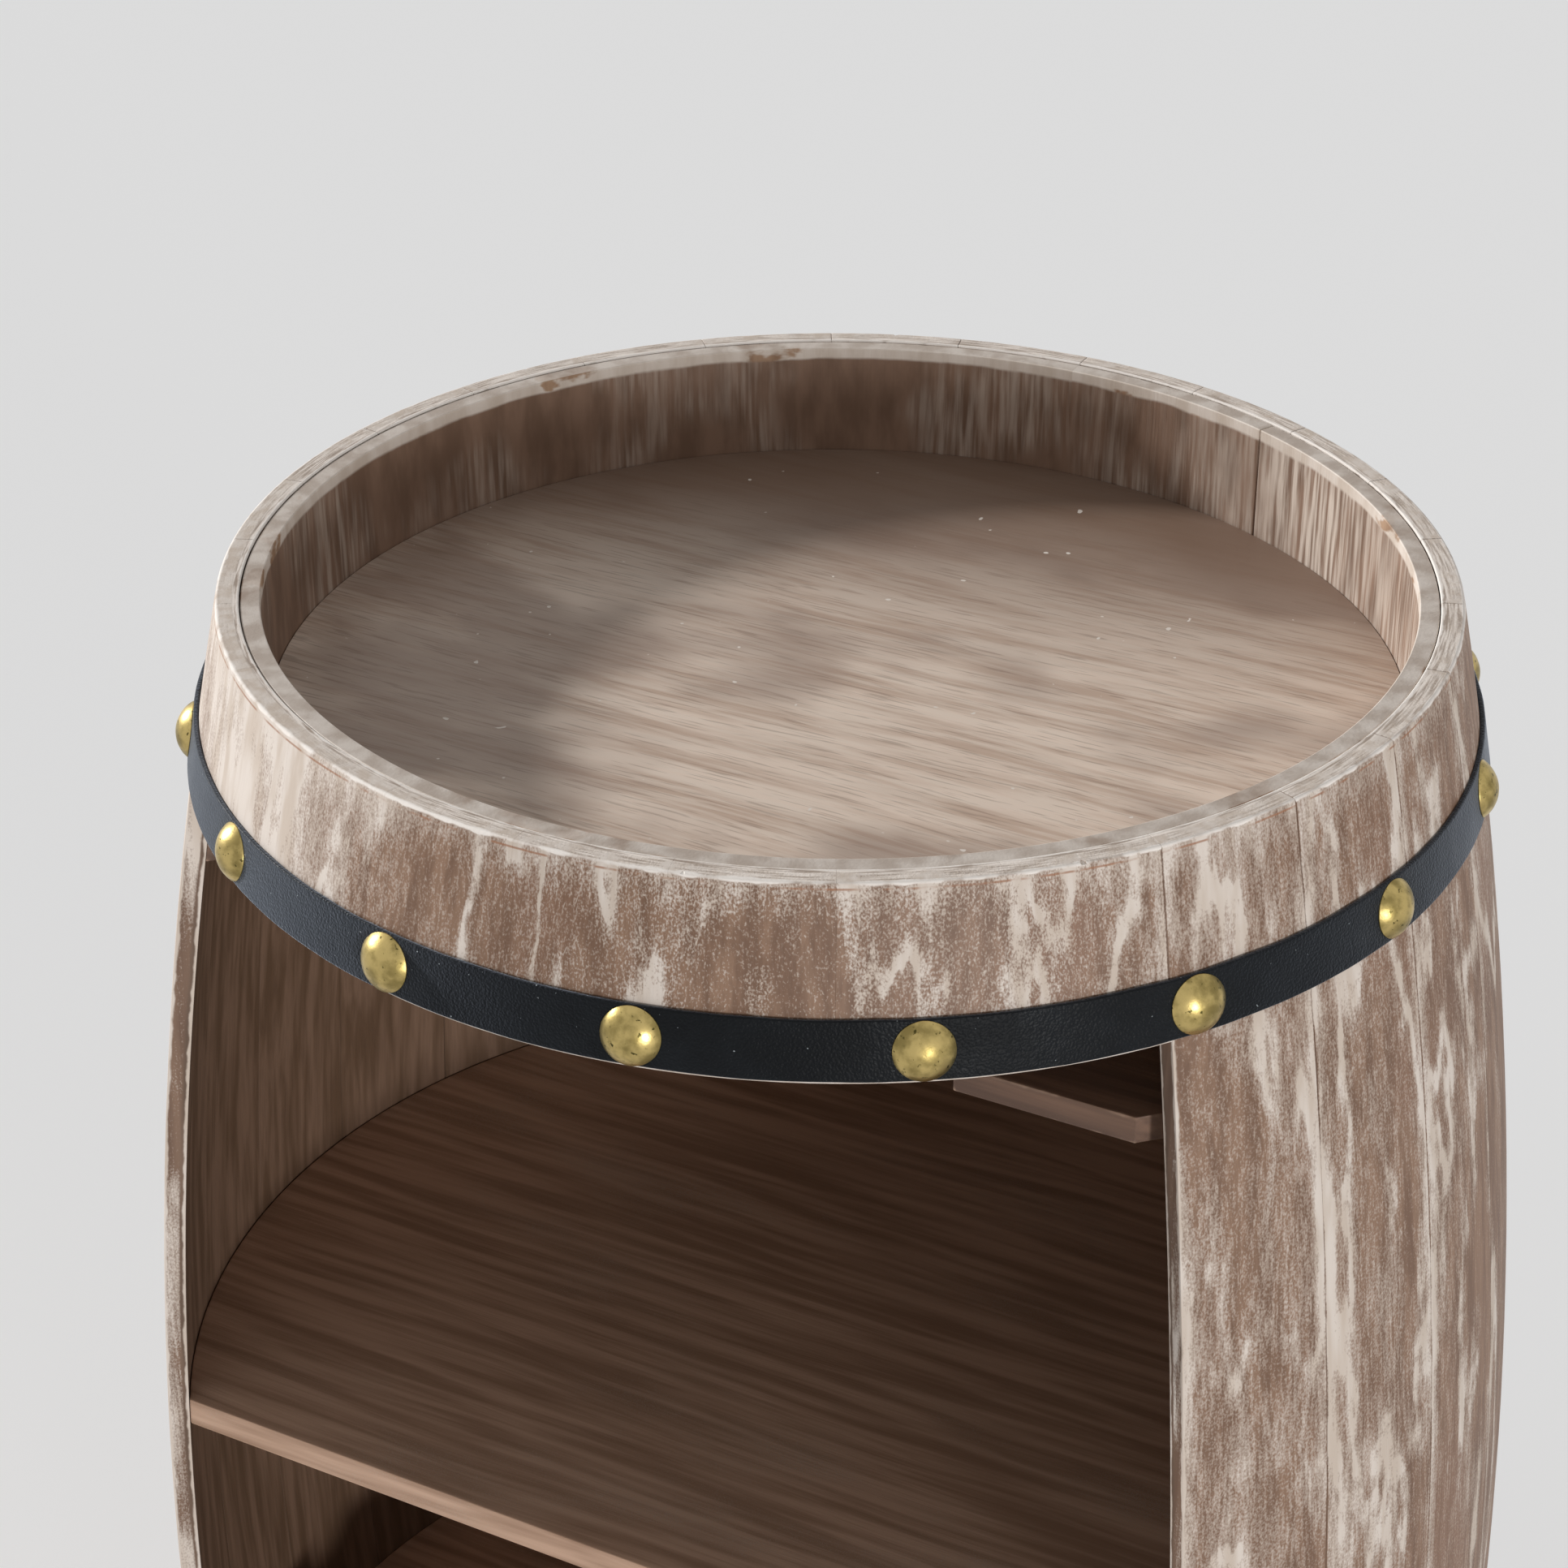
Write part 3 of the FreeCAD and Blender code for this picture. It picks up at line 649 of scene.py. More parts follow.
def near_turn(tree, turn, middle, full, none, amount, **settings):
    """An amount at one angle round the barrel that fades to nothing on both sides of it."""
    aside = add(tree, "ShaderNodeMath", {0: turn, 1: middle}, operation="SUBTRACT")
    aside = add(tree, "ShaderNodeMath", {0: aside}, operation="ABSOLUTE")
    fade = {0: aside, 1: full, 2: none, 3: amount, 4: 0.0}
    return add(tree, "ShaderNodeMapRange", fade, **settings)


def facing_up(tree):
    """How much a point's surface faces up: 1 for level, 0 for upright."""
    normal = add(tree, "ShaderNodeNewGeometry").outputs["Normal"]
    return add(tree, "ShaderNodeSeparateXYZ", {0: normal}).outputs["Z"]


def edge_distance(tree, turn, height, depth):
    """How far a point on a stave is from the nearest edge that hands or tools have rubbed: the
    rim's two, and those round the opening. Also how far it is below the rim."""
    below_rim = add(tree, "ShaderNodeMath", {0: HEIGHT, 1: height}, operation="SUBTRACT")
    to_inner = add(tree, "ShaderNodeMath", {0: STAVE_THICKNESS, 1: depth}, operation="SUBTRACT")
    to_face = add(tree, "ShaderNodeMath", {0: depth, 1: to_inner}, operation="MINIMUM")
    links = {0: past_opening(tree, turn), 1: PATTERN_RADIUS}
    aside = add(tree, "ShaderNodeMath", links, operation="MULTIPLY")
    above = add(tree, "ShaderNodeMath", {0: height, 1: OPENING_TOP}, operation="SUBTRACT")
    below = add(tree, "ShaderNodeMath", {0: OPENING_LOW, 1: height}, operation="SUBTRACT")
    beyond = add(tree, "ShaderNodeMath", {0: above, 1: below}, operation="MAXIMUM")
    beyond = add(tree, "ShaderNodeMath", {0: beyond, 1: aside}, operation="MAXIMUM")
    nearest = add(tree, "ShaderNodeMath", {0: beyond, 1: below_rim}, operation="MINIMUM")
    return add(tree, "ShaderNodeMath", {0: nearest, 1: to_face}, operation="ADD"), below_rim


def seam_distance(tree, turn):
    """How far a point on the sides and back is from the nearest seam between two staves."""
    aside = past_opening(tree, turn)
    stave = (math.pi - math.radians(OPENING_HALF_ANGLE)) / (FULL_STAVES / 2)
    seam = add(tree, "ShaderNodeMath", {0: aside, 1: stave / 2}, operation="PINGPONG")
    seam = add(tree, "ShaderNodeMath", {0: seam, 1: PATTERN_RADIUS}, operation="MULTIPLY")
    # the front's short staves show no seams: they count as a metre away
    front = add(tree, "ShaderNodeMath", {0: aside, 1: -0.02}, operation="LESS_THAN")
    return add(tree, "ShaderNodeMath", {0: seam, 1: front}, operation="ADD")


def stave_stain(tree, look, depth, seam):
    """The staves' stain: pinkish mid brown outside with darker fibres, dark brown inside, and
    nearly black where it gathered in the seams."""
    tone = add(tree, "ShaderNodeMapRange", {0: look["streak"], 1: 0.34, 2: 0.66}, **SMOOTH)
    brown = add(tree, "ShaderNodeMix", {0: tone, 6: tint("#745642"), 7: tint("#8d6e58")}, **RGBA)
    warm = add(tree, "ShaderNodeMapRange", {0: look["patch"], 1: 0.5, 2: 0.72}, **SMOOTH)
    brown = add(tree, "ShaderNodeMix", {0: warm, 6: brown, 7: tint("#866550")}, **RGBA)
    inner = add(tree, "ShaderNodeMix", {0: tone, 6: tint("#654d3a"), 7: tint("#806552")}, **RGBA)
    inside = add(tree, "ShaderNodeMapRange", {0: depth, 1: 5 * MM, 2: 6.5 * MM}, **SMOOTH)
    brown = add(tree, "ShaderNodeMix", {0: inside, 6: brown, 7: inner}, **RGBA)
    thin = add(tree, "ShaderNodeMapRange", {0: look["fibre"], 1: 0.30, 2: 0.60, 3: 0.68, 4: 1.0})
    dark = add(tree, "ShaderNodeMix", {0: 0.6, 6: brown, 7: tint("#3a2a20")}, **RGBA)
    crack = add(tree, "ShaderNodeMapRange", {0: seam, 1: 0.25 * MM, 2: 0.6 * MM, 3: 0.55, 4: 1.0})
    thin = add(tree, "ShaderNodeMath", {0: thin, 1: crack}, operation="MULTIPLY")
    stain = add(tree, "ShaderNodeMix", {0: thin, 6: dark, 7: brown}, **RGBA)
    outside = add(tree, "ShaderNodeMath", {0: 1.0, 1: inside}, operation="SUBTRACT")
    return stain, tone, outside


def stave_wash(tree, look, turn, below_rim, edge, outside, seam):
    """Chalky wash: a sandy film in broad patches, with thin bright ridges where it gathered
    round the figure. It is thicker at the front's left end, where part of the extra is painted
    light, on the staves right of the opening and under the rim. On the right of the front it was
    sanded until it thinned to grit."""
    cover = add(tree, "ShaderNodeMapRange", {0: look["patch"], 1: 0.34, 2: 0.56}, **SMOOTH)
    rings = add(tree, "ShaderNodeMath", {0: look["figure"], 1: 9.0}, operation="MULTIPLY")
    arches = add(tree, "ShaderNodeMath", {0: rings, 1: 1.0}, operation="PINGPONG")
    bands = add(tree, "ShaderNodeMapRange", {0: arches, 1: 0.30, 2: 0.90}, **SMOOTH)
    ridges = add(tree, "ShaderNodeMapRange", {0: arches, 1: 0.66, 2: 0.97}, **SMOOTH)
    amount = add(tree, "ShaderNodeMath", {0: bands, 1: 0.22, 2: 0.14}, **MULADD)
    crumbled = {0: look["ragged"], 1: 0.36, 2: 0.60, 3: 0.26, 4: 0.72}
    crumbled = add(tree, "ShaderNodeMapRange", crumbled, **SMOOTH)
    amount = add(tree, "ShaderNodeMath", {0: ridges, 1: crumbled, 2: amount}, **MULADD)
    amount = add(tree, "ShaderNodeMath", {0: amount, 1: cover}, operation="MULTIPLY")
    heavy = {0: look["haze"], 1: 0.52, 2: 0.72, 3: 0.0, 4: 0.30}
    heavy = add(tree, "ShaderNodeMapRange", heavy, **SMOOTH)
    rim = {0: below_rim, 1: 2 * MM, 2: 14 * MM, 3: 0.26, 4: 0.0}
    rim = add(tree, "ShaderNodeMapRange", rim)
    # painted light: the extra wash at the front's left end partly brightens the side the key lamp
    # lights
    left_wash_and_light = near_turn(tree, turn, -0.8, full=0.25, none=0.75, amount=0.50)
    right_staves = near_turn(tree, turn, 1.1, full=0.05, none=0.30, amount=0.16)
    piled = add(tree, "ShaderNodeMapRange", {0: seam, 1: 0.6 * MM, 2: 6 * MM, 3: 0.5, 4: 0.0})
    piled = add(tree, "ShaderNodeMath", {0: piled, 1: cover}, operation="MULTIPLY")
    crack = {0: seam, 1: 0.25 * MM, 2: 0.6 * MM, 3: -0.5, 4: 0.0}
    crack = add(tree, "ShaderNodeMapRange", crack)
    for more in (heavy, rim, left_wash_and_light, right_staves, piled, crack):
        amount = add(tree, "ShaderNodeMath", {0: amount, 1: more}, operation="ADD")

    # sanded grit, in full from 17 to 43 degrees right of the middle
    begins = add(tree, "ShaderNodeMapRange", {0: turn, 1: -0.15, 2: 0.30}, **SMOOTH)
    ends = add(tree, "ShaderNodeMapRange", {0: turn, 1: 0.75, 2: 0.98, 3: 1.0, 4: 0.0}, **SMOOTH)
    sanded = add(tree, "ShaderNodeMath", {0: begins, 1: ends}, operation="MULTIPLY")
    rough = add(tree, "ShaderNodeMapRange", {0: sanded, 3: 1.1, 4: 2.0})
    grit = add(tree, "ShaderNodeMath", {0: look["grit"], 1: 0.5}, operation="SUBTRACT")
    amount = add(tree, "ShaderNodeMath", {0: grit, 1: rough, 2: amount}, **MULADD)
    hair = add(tree, "ShaderNodeMath", {0: look["fibre"], 1: 0.5}, operation="SUBTRACT")
    amount = add(tree, "ShaderNodeMath", {0: hair, 1: 0.8, 2: amount}, **MULADD)
    amount = add(tree, "ShaderNodeMath", {0: amount, 1: outside}, operation="MULTIPLY")
    amount = add(tree, "ShaderNodeMath", {0: amount, 1: edge}, operation="MAXIMUM")
    white = {0: amount, 1: 0.13, 2: 0.81, 3: 0.0, 4: 0.95}
    return add(tree, "ShaderNodeMapRange", white)


def scratches(tree, place, patch):
    """Hairline scratches 10 to 20 mm long that lean 14 degrees off the grain, in patches."""
    lean = 0.24
    turned = add(tree, "ShaderNodeVectorRotate", {0: place, 3: lean}, rotation_type="Z_AXIS")
    drawn = add(tree, "ShaderNodeVectorMath", {0: turned, 1: (1, 0.028, 1)}, operation="MULTIPLY")
    lines = add(tree, "ShaderNodeTexNoise", {"Vector": drawn, "Scale": 1300.0, "Detail": 0.0})
    lines = add(tree, "ShaderNodeMapRange", {0: lines, 1: 0.73, 2: 0.82, 3: 0.0, 4: 0.55})
    where = add(tree, "ShaderNodeMapRange", {0: patch, 1: 0.50, 2: 0.60}, **SMOOTH)
    return add(tree, "ShaderNodeMath", {0: lines, 1: where}, operation="MULTIPLY")


def stave_wood():
    """Softwood staves, stained brown, washed white and sanded back: brown ovals ringed with
    chalky white, fine scratches, edges rubbed pale, and plain dark stain inside."""
    material, tree, shader = new_material("whitewashed_stained_softwood")
    place, turn, height, depth = barrel_place(tree)
    look = wood_layers(
        tree,
        place,
        fibre=(900, 32, 3),
        streak=(170, 14, 2),
        figure=(30, 5.5, 4.5),
        patch=(20, 2.2, 3),
        haze=(60, 4, 5),
        grit=(1500, 1.5, 2),
        ragged=(120, 1, 3),
    )
    seam = seam_distance(tree, turn)
    stain, tone, outside = stave_stain(tree, look, depth, seam)
    gap, below_rim = edge_distance(tree, turn, height, depth)
    uneven = add(tree, "ShaderNodeMath", {0: look["ragged"], 1: 2.4 * MM, 2: -1.2 * MM}, **MULADD)
    gap = add(tree, "ShaderNodeMath", {0: gap, 1: uneven}, operation="ADD")
    edge = {0: gap, 1: 0.3 * MM, 2: 1.7 * MM, 3: 1.0, 4: 0.0}
    edge = add(tree, "ShaderNodeMapRange", edge, **SMOOTH)
    white = stave_wash(tree, look, turn, below_rim, edge, outside, seam)
    scored = {0: scratches(tree, place, look["patch"]), 1: outside}
    scored = add(tree, "ShaderNodeMath", scored, operation="MULTIPLY")
    white = add(tree, "ShaderNodeMath", {0: white, 1: scored}, operation="MAXIMUM")

    # the rim's flat top, cream over grey-brown in streaks that run round it
    top = add(tree, "ShaderNodeMapRange", {0: facing_up(tree), 1: 0.6, 2: 0.9}, **SMOOTH)
    rim = add(tree, "ShaderNodeCombineXYZ", {0: depth, 1: turn})
    rim = add(tree, "ShaderNodeVectorMath", {0: rim, 1: (1, 0.012, 1)}, operation="MULTIPLY")
    brushed = add(tree, "ShaderNodeTexNoise", {"Vector": rim, "Scale": 1100.0, "Detail": 5.0})
    brushed = add(tree, "ShaderNodeMapRange", {0: brushed, 1: 0.38, 2: 0.60}, **SMOOTH)
    rim = add(tree, "ShaderNodeMix", {0: brushed, 6: tint("#9f8e80"), 7: tint("#ede2d8")}, **RGBA)
    stain = add(tree, "ShaderNodeMix", {0: top, 6: stain, 7: rim}, **RGBA)

    # raw wood in a broken hairline under the rim's outer edge
    away = add(tree, "ShaderNodeMath", {0: below_rim, 1: 2.2 * MM}, operation="SUBTRACT")
    away = add(tree, "ShaderNodeMath", {0: away}, operation="ABSOLUTE")
    line = {0: away, 1: 0.15 * MM, 2: 0.5 * MM, 3: 0.75, 4: 0.0}
    line = add(tree, "ShaderNodeMapRange", line)
    broken = add(tree, "ShaderNodeMapRange", {0: look["ragged"], 1: 0.42, 2: 0.62}, **SMOOTH)
    raw = add(tree, "ShaderNodeMath", {0: line, 1: broken}, operation="MULTIPLY")
    raw = add(tree, "ShaderNodeMath", {0: raw, 1: outside}, operation="MULTIPLY")

    chalk = add(tree, "ShaderNodeMix", {0: tone, 6: tint("#c8b9ab"), 7: tint("#dacfc5")}, **RGBA)
    rubbed = add(tree, "ShaderNodeMapRange", {0: edge, 1: 0.3, 2: 0.9, 3: 0.0, 4: 0.85})
    on_rim = add(tree, "ShaderNodeMath", {0: below_rim, 1: 3 * MM}, operation="LESS_THAN")
    rubbed = add(tree, "ShaderNodeMath", {0: rubbed, 1: on_rim}, operation="MULTIPLY")
    chalk = add(tree, "ShaderNodeMix", {0: rubbed, 6: chalk, 7: tint("#f4ede6")}, **RGBA)
    colour = add(tree, "ShaderNodeMix", {0: white, 6: stain, 7: chalk}, **RGBA)
    colour = add(tree, "ShaderNodeMix", {0: raw, 6: colour, 7: tint("#94613f")}, **RGBA)
    rough = add(tree, "ShaderNodeMapRange", {0: white, 3: 0.58, 4: 0.85})
    feed(tree, shader, {"Base Color": colour, "Roughness": rough})
    wood_relief(tree, shader, look["fibre"], white)
    return material


def liner_wood():
    """A thin bent strip of the same stained wood: brushed pale upright strokes on its wall, most on
    the right wall, where part of their paleness is painted light, and a bevelled top edge that
    handling has rubbed to cream and, in places, to raw wood."""
    material, tree, shader = new_material("brushed_bent_liner_wood")
    place, turn, height, _ = barrel_place(tree)
    look = wood_layers(
        tree,
        place,
        fibre=(900, 32, 3),
        streak=(80, 3, 4),
        stroke=(360, 14, 4),
        patch=(16, 1, 3),
        chip=(34, 0.5, 4),
    )
    tone = add(tree, "ShaderNodeMapRange", {0: look["streak"], 1: 0.35, 2: 0.65}, **SMOOTH)
    brown = add(tree, "ShaderNodeMix", {0: tone, 6: tint("#735947"), 7: tint("#8b6f5c")}, **RGBA)
    stroke = add(tree, "ShaderNodeMapRange", {0: look["stroke"], 1: 0.34, 2: 0.68}, **SMOOTH)
    cover = {0: look["patch"], 1: 0.42, 2: 0.64, 3: 0.0, 4: 0.5}
    cover = add(tree, "ShaderNodeMapRange", cover, **SMOOTH)
    # painted light: the strokes gather on the right wall partly to brighten the side that the key
    # lamp lights
    heavy = near_turn(tree, turn, 2.0, full=0.4, none=1.1, amount=0.65, **SMOOTH)
    cover = add(tree, "ShaderNodeMath", {0: cover, 1: heavy}, operation="ADD")
    pale = add(tree, "ShaderNodeMath", {0: stroke, 1: cover}, operation="MULTIPLY", use_clamp=True)
    colour = add(tree, "ShaderNodeMix", {0: pale, 6: brown, 7: tint("#d2c3b5")}, **RGBA)
    uneven = add(tree, "ShaderNodeMath", {0: look["chip"], 1: 3 * MM, 2: -1.5 * MM}, **MULADD)
    level = add(tree, "ShaderNodeMath", {0: height, 1: uneven}, operation="ADD")
    bevel_low = LINER_TOP - LINER_BEVEL[1]
    rubbed = {0: level, 1: bevel_low - 0.6 * MM, 2: bevel_low + 0.9 * MM}
    rubbed = add(tree, "ShaderNodeMapRange", rubbed, **SMOOTH)
    cream = add(tree, "ShaderNodeMix", {0: tone, 6: tint("#cdbfb1"), 7: tint("#e0d5ca")}, **RGBA)
    bare = add(tree, "ShaderNodeMix", {0: tone, 6: tint("#8f6f55"), 7: tint("#b4957a")}, **RGBA)
    chips = add(tree, "ShaderNodeMapRange", {0: look["chip"], 1: 0.60, 2: 0.66}, **SMOOTH)
    cream = add(tree, "ShaderNodeMix", {0: chips, 6: cream, 7: bare}, **RGBA)
    flat = {0: facing_up(tree), 1: 0.965, 2: 0.995, 3: 0.0, 4: 0.75}
    flat = add(tree, "ShaderNodeMapRange", flat)
    top = add(tree, "ShaderNodeMix", {0: tone, 6: tint("#a6978b"), 7: tint("#c9beb4")}, **RGBA)
    cream = add(tree, "ShaderNodeMix", {0: flat, 6: cream, 7: top}, **RGBA)
    colour = add(tree, "ShaderNodeMix", {0: rubbed, 6: colour, 7: cream}, **RGBA)
    feed(tree, shader, {"Base Color": colour, "Roughness": 0.6})
    wood_relief(tree, shader, look["fibre"], pale)
    return material


def tray_wood():
    """A planed stained panel, dry-brushed along its straight grain: soft light and dark streaks
    50 to 150 mm long, painted shade darkening it towards the back, darker pores and a few pale
    specks."""
    material, tree, shader = new_material("dry_brushed_tray_wood")
    place = plank_place(tree, "X")
    look = wood_layers(
        tree,
        place,
        pore=(1000, 22, 3),
        fine=(420, 18, 5),
        broad=(95, 9, 6),
        blotch=(13, 1.6, 3),
        speck=(260, 1, 0),
    )
    broad = add(tree, "ShaderNodeMapRange", {0: look["broad"], 1: 0.36, 2: 0.64}, **SMOOTH)
    colour = add(tree, "ShaderNodeMix", {0: broad, 6: tint("#bea592"), 7: tint("#decab9")}, **RGBA)
    fine = {0: look["fine"], 1: 0.42, 2: 0.62, 3: 0.0, 4: 0.6}
    fine = add(tree, "ShaderNodeMapRange", fine, **SMOOTH)
    colour = add(tree, "ShaderNodeMix", {0: fine, 6: colour, 7: tint("#dccbbb")}, **RGBA)
    blotch = {0: look["blotch"], 1: 0.36, 2: 0.54, 3: 0.6, 4: 0.0}
    blotch = add(tree, "ShaderNodeMapRange", blotch, **SMOOTH)
    colour = add(tree, "ShaderNodeMix", {0: blotch, 6: colour, 7: tint("#80685a")}, **RGBA)
    # painted shade: the back of the panel is darkened towards #715847, standing in for the rim's
    # shadow
    back = {0: add(tree, "ShaderNodeTexCoord").outputs["Object"], 1: (-0.2, 0.98, 0)}
    back = add(tree, "ShaderNodeVectorMath", back, operation="DOT_PRODUCT")
    back = {0: back, 1: 0.0, 2: 0.16, 3: 0.0, 4: 0.9}
    back = add(tree, "ShaderNodeMapRange", back, **SMOOTH)
    colour = add(tree, "ShaderNodeMix", {0: back, 6: colour, 7: tint("#715847")}, **RGBA)
    pore = {0: look["pore"], 1: 0.34, 2: 0.46, 3: 0.4, 4: 0.0}
    pore = add(tree, "ShaderNodeMapRange", pore, **SMOOTH)
    colour = add(tree, "ShaderNodeMix", {0: pore, 6: colour, 7: tint("#7a6454")}, **RGBA)
    speck = add(tree, "ShaderNodeMapRange", {0: look["speck"], 1: 0.85, 2: 0.88}, **SMOOTH)
    colour = add(tree, "ShaderNodeMix", {0: speck, 6: colour, 7: tint("#ddd3c9")}, **RGBA)
    feed(tree, shader, {"Base Color": colour, "Roughness": 0.52})
    wood_relief(tree, shader, look["pore"], fine, strength=0.22)
    return material


def inner_board_wood(name, along, dark, light, raw):
    """Stained boards of the inside: dark straight grain, a little wash, and corners rubbed
    through the stain here and there."""
    material, tree, shader = new_material(name)
    place = plank_place(tree, along)
    look = wood_layers(
        tree,
        place,
        fibre=(900, 30, 3),
        fine=(170, 20, 3),
        patch=(20, 2.2, 3),
        grit=(2900, 1.3, 1),
        ragged=(120, 1, 3),
    )
    tone = add(tree, "ShaderNodeMapRange", {0: look["fine"], 1: 0.33, 2: 0.67}, **SMOOTH)
    colour = add(tree, "ShaderNodeMix", {0: tone, 6: tint(dark), 7: tint(light)}, **RGBA)
    amount = add(tree, "ShaderNodeMath", {0: look["patch"], 1: look["grit"]}, operation="MULTIPLY")
    white = add(tree, "ShaderNodeMapRange", {0: amount, 1: 0.31, 2: 0.42, 3: 0.0, 4: 0.5})
    colour = add(tree, "ShaderNodeMix", {0: white, 6: colour, 7: tint("#b5a596")}, **RGBA)
    links = {"Distance": 1.6 * MM}
    inward = {"samples": 6, "inside": True, "only_local": True}
    kept = add(tree, "ShaderNodeAmbientOcclusion", links, **inward).outputs["AO"]
    kept = add(tree, "ShaderNodeMath", {0: kept, 1: look["ragged"]}, operation="ADD")
    worn = {0: kept, 1: 0.95, 2: 1.20, 3: 0.75, 4: 0.0}
    worn = add(tree, "ShaderNodeMapRange", worn, **SMOOTH)
    colour = add(tree, "ShaderNodeMix", {0: worn, 6: colour, 7: tint(raw)}, **RGBA)
    feed(tree, shader, {"Base Color": colour, "Roughness": 0.62})
    wood_relief(tree, shader, look["fibre"], white, strength=0.3)
    return material


# ------------------------------------------------------------------ leather, metal and felt


def strap_leather():
    """Embossed split cowhide, nearly black: pebbles about 1 mm across under a soft bluish sheen,
    slow creases and a little dust."""
    material, tree, shader = new_material("pebbled_black_leather")
    here = add(tree, "ShaderNodeTexCoord").outputs["Object"]
    warp = add(tree, "ShaderNodeTexNoise", {"Vector": here, "Scale": 500.0, "Detail": 1.0})
    links = {0: warp.outputs["Color"], 1: (0.0009, 0.0009, 0.0009), 2: here}
    bent = add(tree, "ShaderNodeVectorMath", links, **MULADD)
    links = {"Vector": bent, "Scale": 1300.0}
    pebble = add(tree, "ShaderNodeTexVoronoi", links, feature="SMOOTH_F1")
    wide = add(tree, "ShaderNodeTexNoise", {"Vector": here, "Scale": 45.0, "Detail": 3.0})
    shade = add(tree, "ShaderNodeMapRange", {0: wide, 1: 0.35, 2: 0.65}, **SMOOTH)
    colour = add(tree, "ShaderNodeMix", {0: shade, 6: tint("#090a0b"), 7: tint("#111315")}, **RGBA)
    dust = add(tree, "ShaderNodeTexNoise", {"Vector": here, "Scale": 900.0, "Detail": 0.0})
    dust = add(tree, "ShaderNodeMapRange", {0: dust, 1: 0.86, 2: 0.88}, **SMOOTH)
    colour = add(tree, "ShaderNodeMix", {0: dust, 6: colour, 7: tint("#8f9598")}, **RGBA)
    rough = add(tree, "ShaderNodeMapRange", {0: shade, 3: 0.46, 4: 0.38})
    creases = {0: wide, 1: 1.5, 2: pebble.outputs["Distance"]}
    creases = add(tree, "ShaderNodeMath", creases, **MULADD)
    links = {"Strength": 0.8, "Distance": 0.25 * MM, "Height": creases}
    bump = add(tree, "ShaderNodeBump", links, invert=True)
    links = {
        "Base Color": colour,
        "Roughness": rough,
        "Specular IOR Level": 0.08,
        "Sheen Weight": 0.48,
        "Sheen Tint": tint("#d3dff2"),
        "Sheen Roughness": 0.45,
        "Normal": bump,
    }
    feed(tree, shader, links)
    return material


def tack_brass():
    """Antiqued brass: an olive-brown patina rubbed back on the dome, cloudy over 5 to 10 mm,
    with fine pits and a few darker nicks."""
    material, tree, shader = new_material("antiqued_brass")
    here = add(tree, "ShaderNodeTexCoord").outputs["Object"]
    cloud = add(tree, "ShaderNodeTexNoise", {"Vector": here, "Scale": 170.0, "Detail": 7.0})
    patina = add(tree, "ShaderNodeMapRange", {0: cloud, 1: 0.36, 2: 0.64}, **SMOOTH)
    colour = add(tree, "ShaderNodeMix", {0: patina, 6: tint("#c9b274"), 7: tint("#91804e")}, **RGBA)
    spot = add(tree, "ShaderNodeTexNoise", {"Vector": here, "Scale": 520.0, "Detail": 3.0})
    spot = add(tree, "ShaderNodeMapRange", {0: spot, 1: 0.62, 2: 0.72}, **SMOOTH)
    colour = add(tree, "ShaderNodeMix", {0: spot, 6: colour, 7: tint("#4f4826")}, **RGBA)
    rough = add(tree, "ShaderNodeMapRange", {0: cloud, 1: 0.3, 2: 0.7, 3: 0.27, 4: 0.44})
    fine = add(tree, "ShaderNodeTexNoise", {"Vector": here, "Scale": 1300.0, "Detail": 4.0})
    bump = add(tree, "ShaderNodeBump", {"Strength": 0.3, "Distance": 0.12 * MM, "Height": fine})
    links = {"Base Color": colour, "Metallic": 1.0, "Roughness": rough, "Normal": bump}
    feed(tree, shader, links)
    return material


def screw_steel():
    """Zinc-plated steel: dull grey metal, slightly mottled."""
    material, tree, shader = new_material("zinc_plated_steel")
    here = add(tree, "ShaderNodeTexCoord").outputs["Object"]
    spangle = add(tree, "ShaderNodeTexNoise", {"Vector": here, "Scale": 900.0, "Detail": 3.0})
    zinc = add(tree, "ShaderNodeMix", {0: spangle, 6: tint("#8f9092"), 7: tint("#b3b4b4")}, **RGBA)
    feed(tree, shader, {"Base Color": zinc, "Metallic": 1.0, "Roughness": 0.42})
    return material


def foot_felt():
    """Pressed wool felt: matt charcoal with short tangled fibres about 0.3 mm thick."""
    material, tree, shader = new_material("pressed_wool_felt")
    here = add(tree, "ShaderNodeTexCoord").outputs["Object"]
    fibre = add(tree, "ShaderNodeTexNoise", {"Vector": here, "Scale": 1600.0, "Detail": 4.0})
    wool = add(tree, "ShaderNodeMix", {0: fibre, 6: tint("#242424"), 7: tint("#484645")}, **RGBA)
    bump = add(tree, "ShaderNodeBump", {"Strength": 0.6, "Distance": 0.3 * MM, "Height": fibre})
    feed(tree, shader, {"Base Color": wool, "Roughness": 0.95, "Normal": bump})
    return material


# ------------------------------------------------------------------ the cabinet


def build_barrel():
    wood = stave_wood()
    for board, node, number in all_staves():
        # the short staves over the opening were washed as one, so their figure runs on
        number = 3 if node.startswith("head") else number
        dress(smooth(board, angle=25), wood, node, number)
    dress(tray_liner(), liner_wood(), "tray_liner")
    dress(foot_pad(), foot_felt(), "foot_ring")


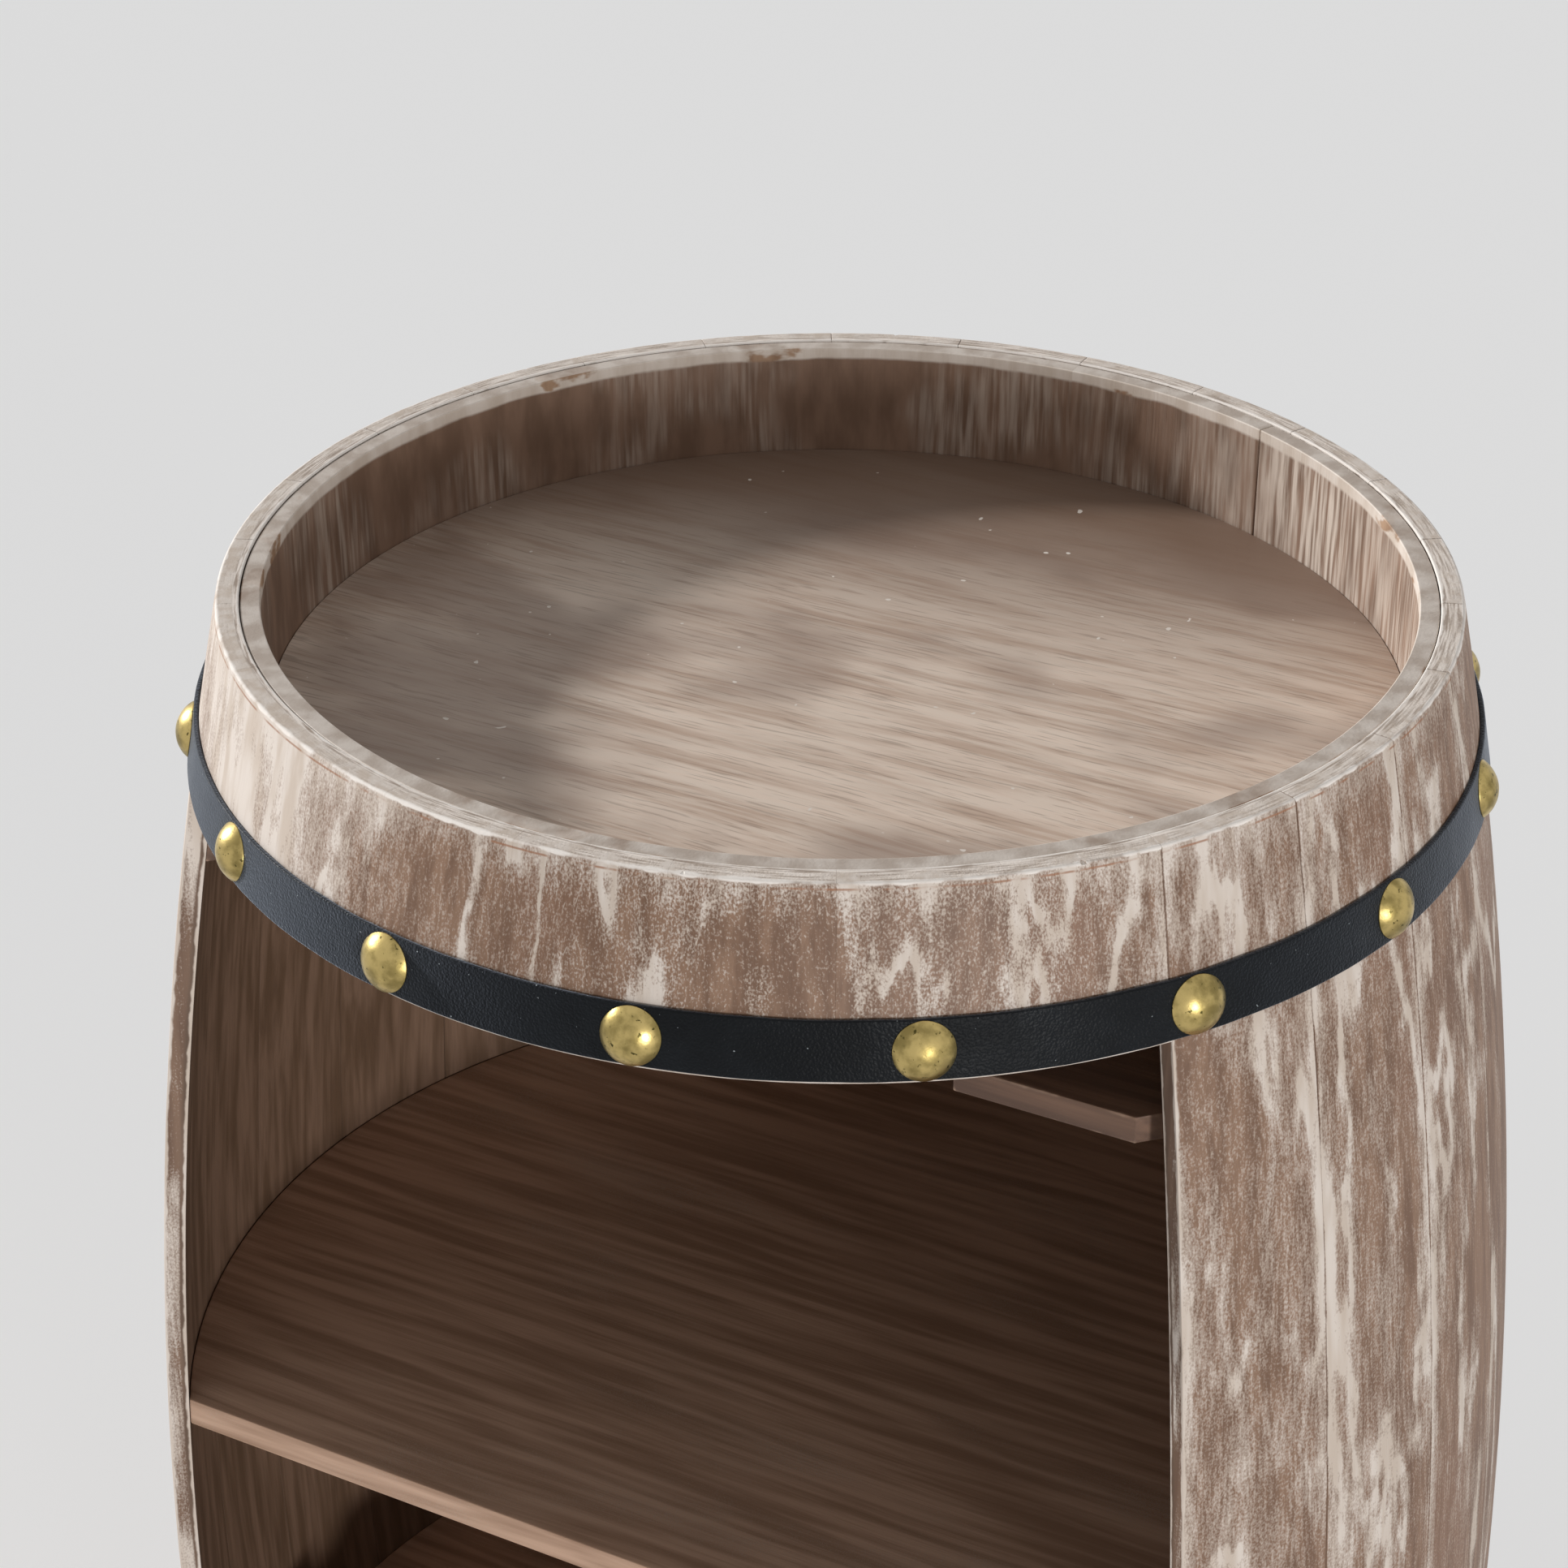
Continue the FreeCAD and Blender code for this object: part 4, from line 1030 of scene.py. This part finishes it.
def build_boards():
    tray = tray_wood()
    # the shelf boards are written much lighter than their dark wood: painted light that makes up
    # for the dim inside
    shelf = inner_board_wood("shelf_board_with_painted_light", "X", "#9c7b64", "#c5a28a", "#b08b6c")
    rack = inner_board_wood("stained_rack_board", "X", "#543d30", "#755846", "#bb9c84")
    rail = inner_board_wood("stained_rail_board", "X", "#654f3f", "#866b57", "#a4816a")
    cleat = inner_board_wood("stained_cleat_batten", "Y", "#553f31", "#71563f", "#94725a")
    back_cleat = inner_board_wood("stained_back_batten", "X", "#553f31", "#71563f", "#94725a")
    boards = [
        ("tray_panel", tray, "tray_wood", 0.5),
        ("floor_panel", shelf, "shelf_wood", 0.8),
        ("upper_shelf", shelf, "shelf_wood", 0.9),
        ("lower_shelf", shelf, "shelf_wood", 0.9),
        ("stemware_rack", rack, "rack_wood", 0.7),
    ]
    for level in ("upper", "lower"):
        for side in ("front", "back"):
            boards.append((f"{level}_bottle_rail_{side}", rail, "rail_wood", 1.0))
    battens = {"left": cleat, "right": cleat, "back": back_cleat}
    for held in ("rack", "upper_shelf", "lower_shelf"):
        for side, batten in battens.items():
            if (held, side) != ("rack", "back"):
                boards.append((f"{held}_cleat_{side}", batten, "cleat_wood", 0.6))
    for number, (node, material, slot, ease) in enumerate(boards, start=41):
        piece = eased_board(node, f"{node}_eased", ease * MM)
        dress(piece, material, node, number)


def build_fittings():
    leather = strap_leather()
    brass = tack_brass()
    tack = dome_tack()
    for label in ("top", "bottom"):
        dress(leather_strap(label), leather, f"{label}_strap")
        dress(tack_ring(label, tack), brass, f"{label}_tacks")
    bpy.data.objects.remove(tack)
    # the CAD's own screws show as they are
    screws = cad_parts["wood_screws"]
    screws.data.materials.clear()
    screws.data.materials.append(screw_steel())


# ------------------------------------------------------------------ floor, light and camera


def pale_floor():
    """A wide sheet of pale floor that fills the view behind the cabinet."""
    rest_all()
    bpy.ops.mesh.primitive_plane_add(size=24, location=(0, 6, 0))
    floor = bpy.context.active_object
    floor.name = "studio_floor"
    material, tree, shader = new_material("pale_studio_floor")
    links = {"Base Color": tint("#fafafa"), "Roughness": 0.9, "Specular IOR Level": 0.0}
    feed(tree, shader, links)
    floor.data.materials.append(material)


def sunlight(name, level, softness, place):
    """Even light on the cabinet from the side of a place. A white surface that faces it takes
    the level as its brightness; the softness is how wide the source looks, in degrees."""
    lamp = bpy.data.lights.new(name, "SUN")
    lamp.energy = level * math.pi
    lamp.angle = math.radians(softness)
    holder = bpy.data.objects.new(name, lamp)
    holder.location = place
    holder.rotation_euler = (-Vector(place)).to_track_quat("-Z", "Y").to_euler()
    bpy.context.scene.collection.objects.link(holder)


def studio():
    sunlight("key_left", level=1.13, softness=6, place=(-3.0, 0.05, 1.06))
    sunlight("fill_front", level=0.54, softness=8, place=(2.35, -2.0, 0.0))
    world = bpy.data.worlds.new("plain_room")
    bpy.context.scene.world = world
    world.use_nodes = True
    tree = world.node_tree
    tree.nodes.clear()
    ray = add(tree, "ShaderNodeLightPath").outputs
    links = {0: ray["Is Camera Ray"], 1: ray["Is Glossy Ray"]}
    seen = add(tree, "ShaderNodeMath", links, operation="MAXIMUM")
    links = {0: seen, 1: ray["Is Transmission Ray"]}
    seen = add(tree, "ShaderNodeMath", links, operation="MAXIMUM")
    strength = add(tree, "ShaderNodeMapRange", {0: seen, 3: 0.50, 4: 1.0})
    sky = add(tree, "ShaderNodeBackground", {"Color": tint("#dddddd"), "Strength": strength})
    add(tree, "ShaderNodeOutputWorld", {"Surface": sky})


def set_camera():
    camera = bpy.data.cameras.new("camera")
    camera.lens = 82.05
    camera.sensor_width = 36.0
    camera.clip_start = 0.05
    camera.clip_end = 100
    holder = bpy.data.objects.new("camera", camera)
    holder.location = (0.5091, -0.9999, 1.4007)
    aim = Vector((-0.40915, 0.77087, -0.48821))
    holder.rotation_euler = aim.to_track_quat("-Z", "Y").to_euler()
    bpy.context.scene.collection.objects.link(holder)
    bpy.context.scene.camera = holder


build_barrel()
build_boards()
build_fittings()
pale_floor()
studio()
set_camera()
bpy.context.scene.view_settings.view_transform = "Standard"

rest_all()
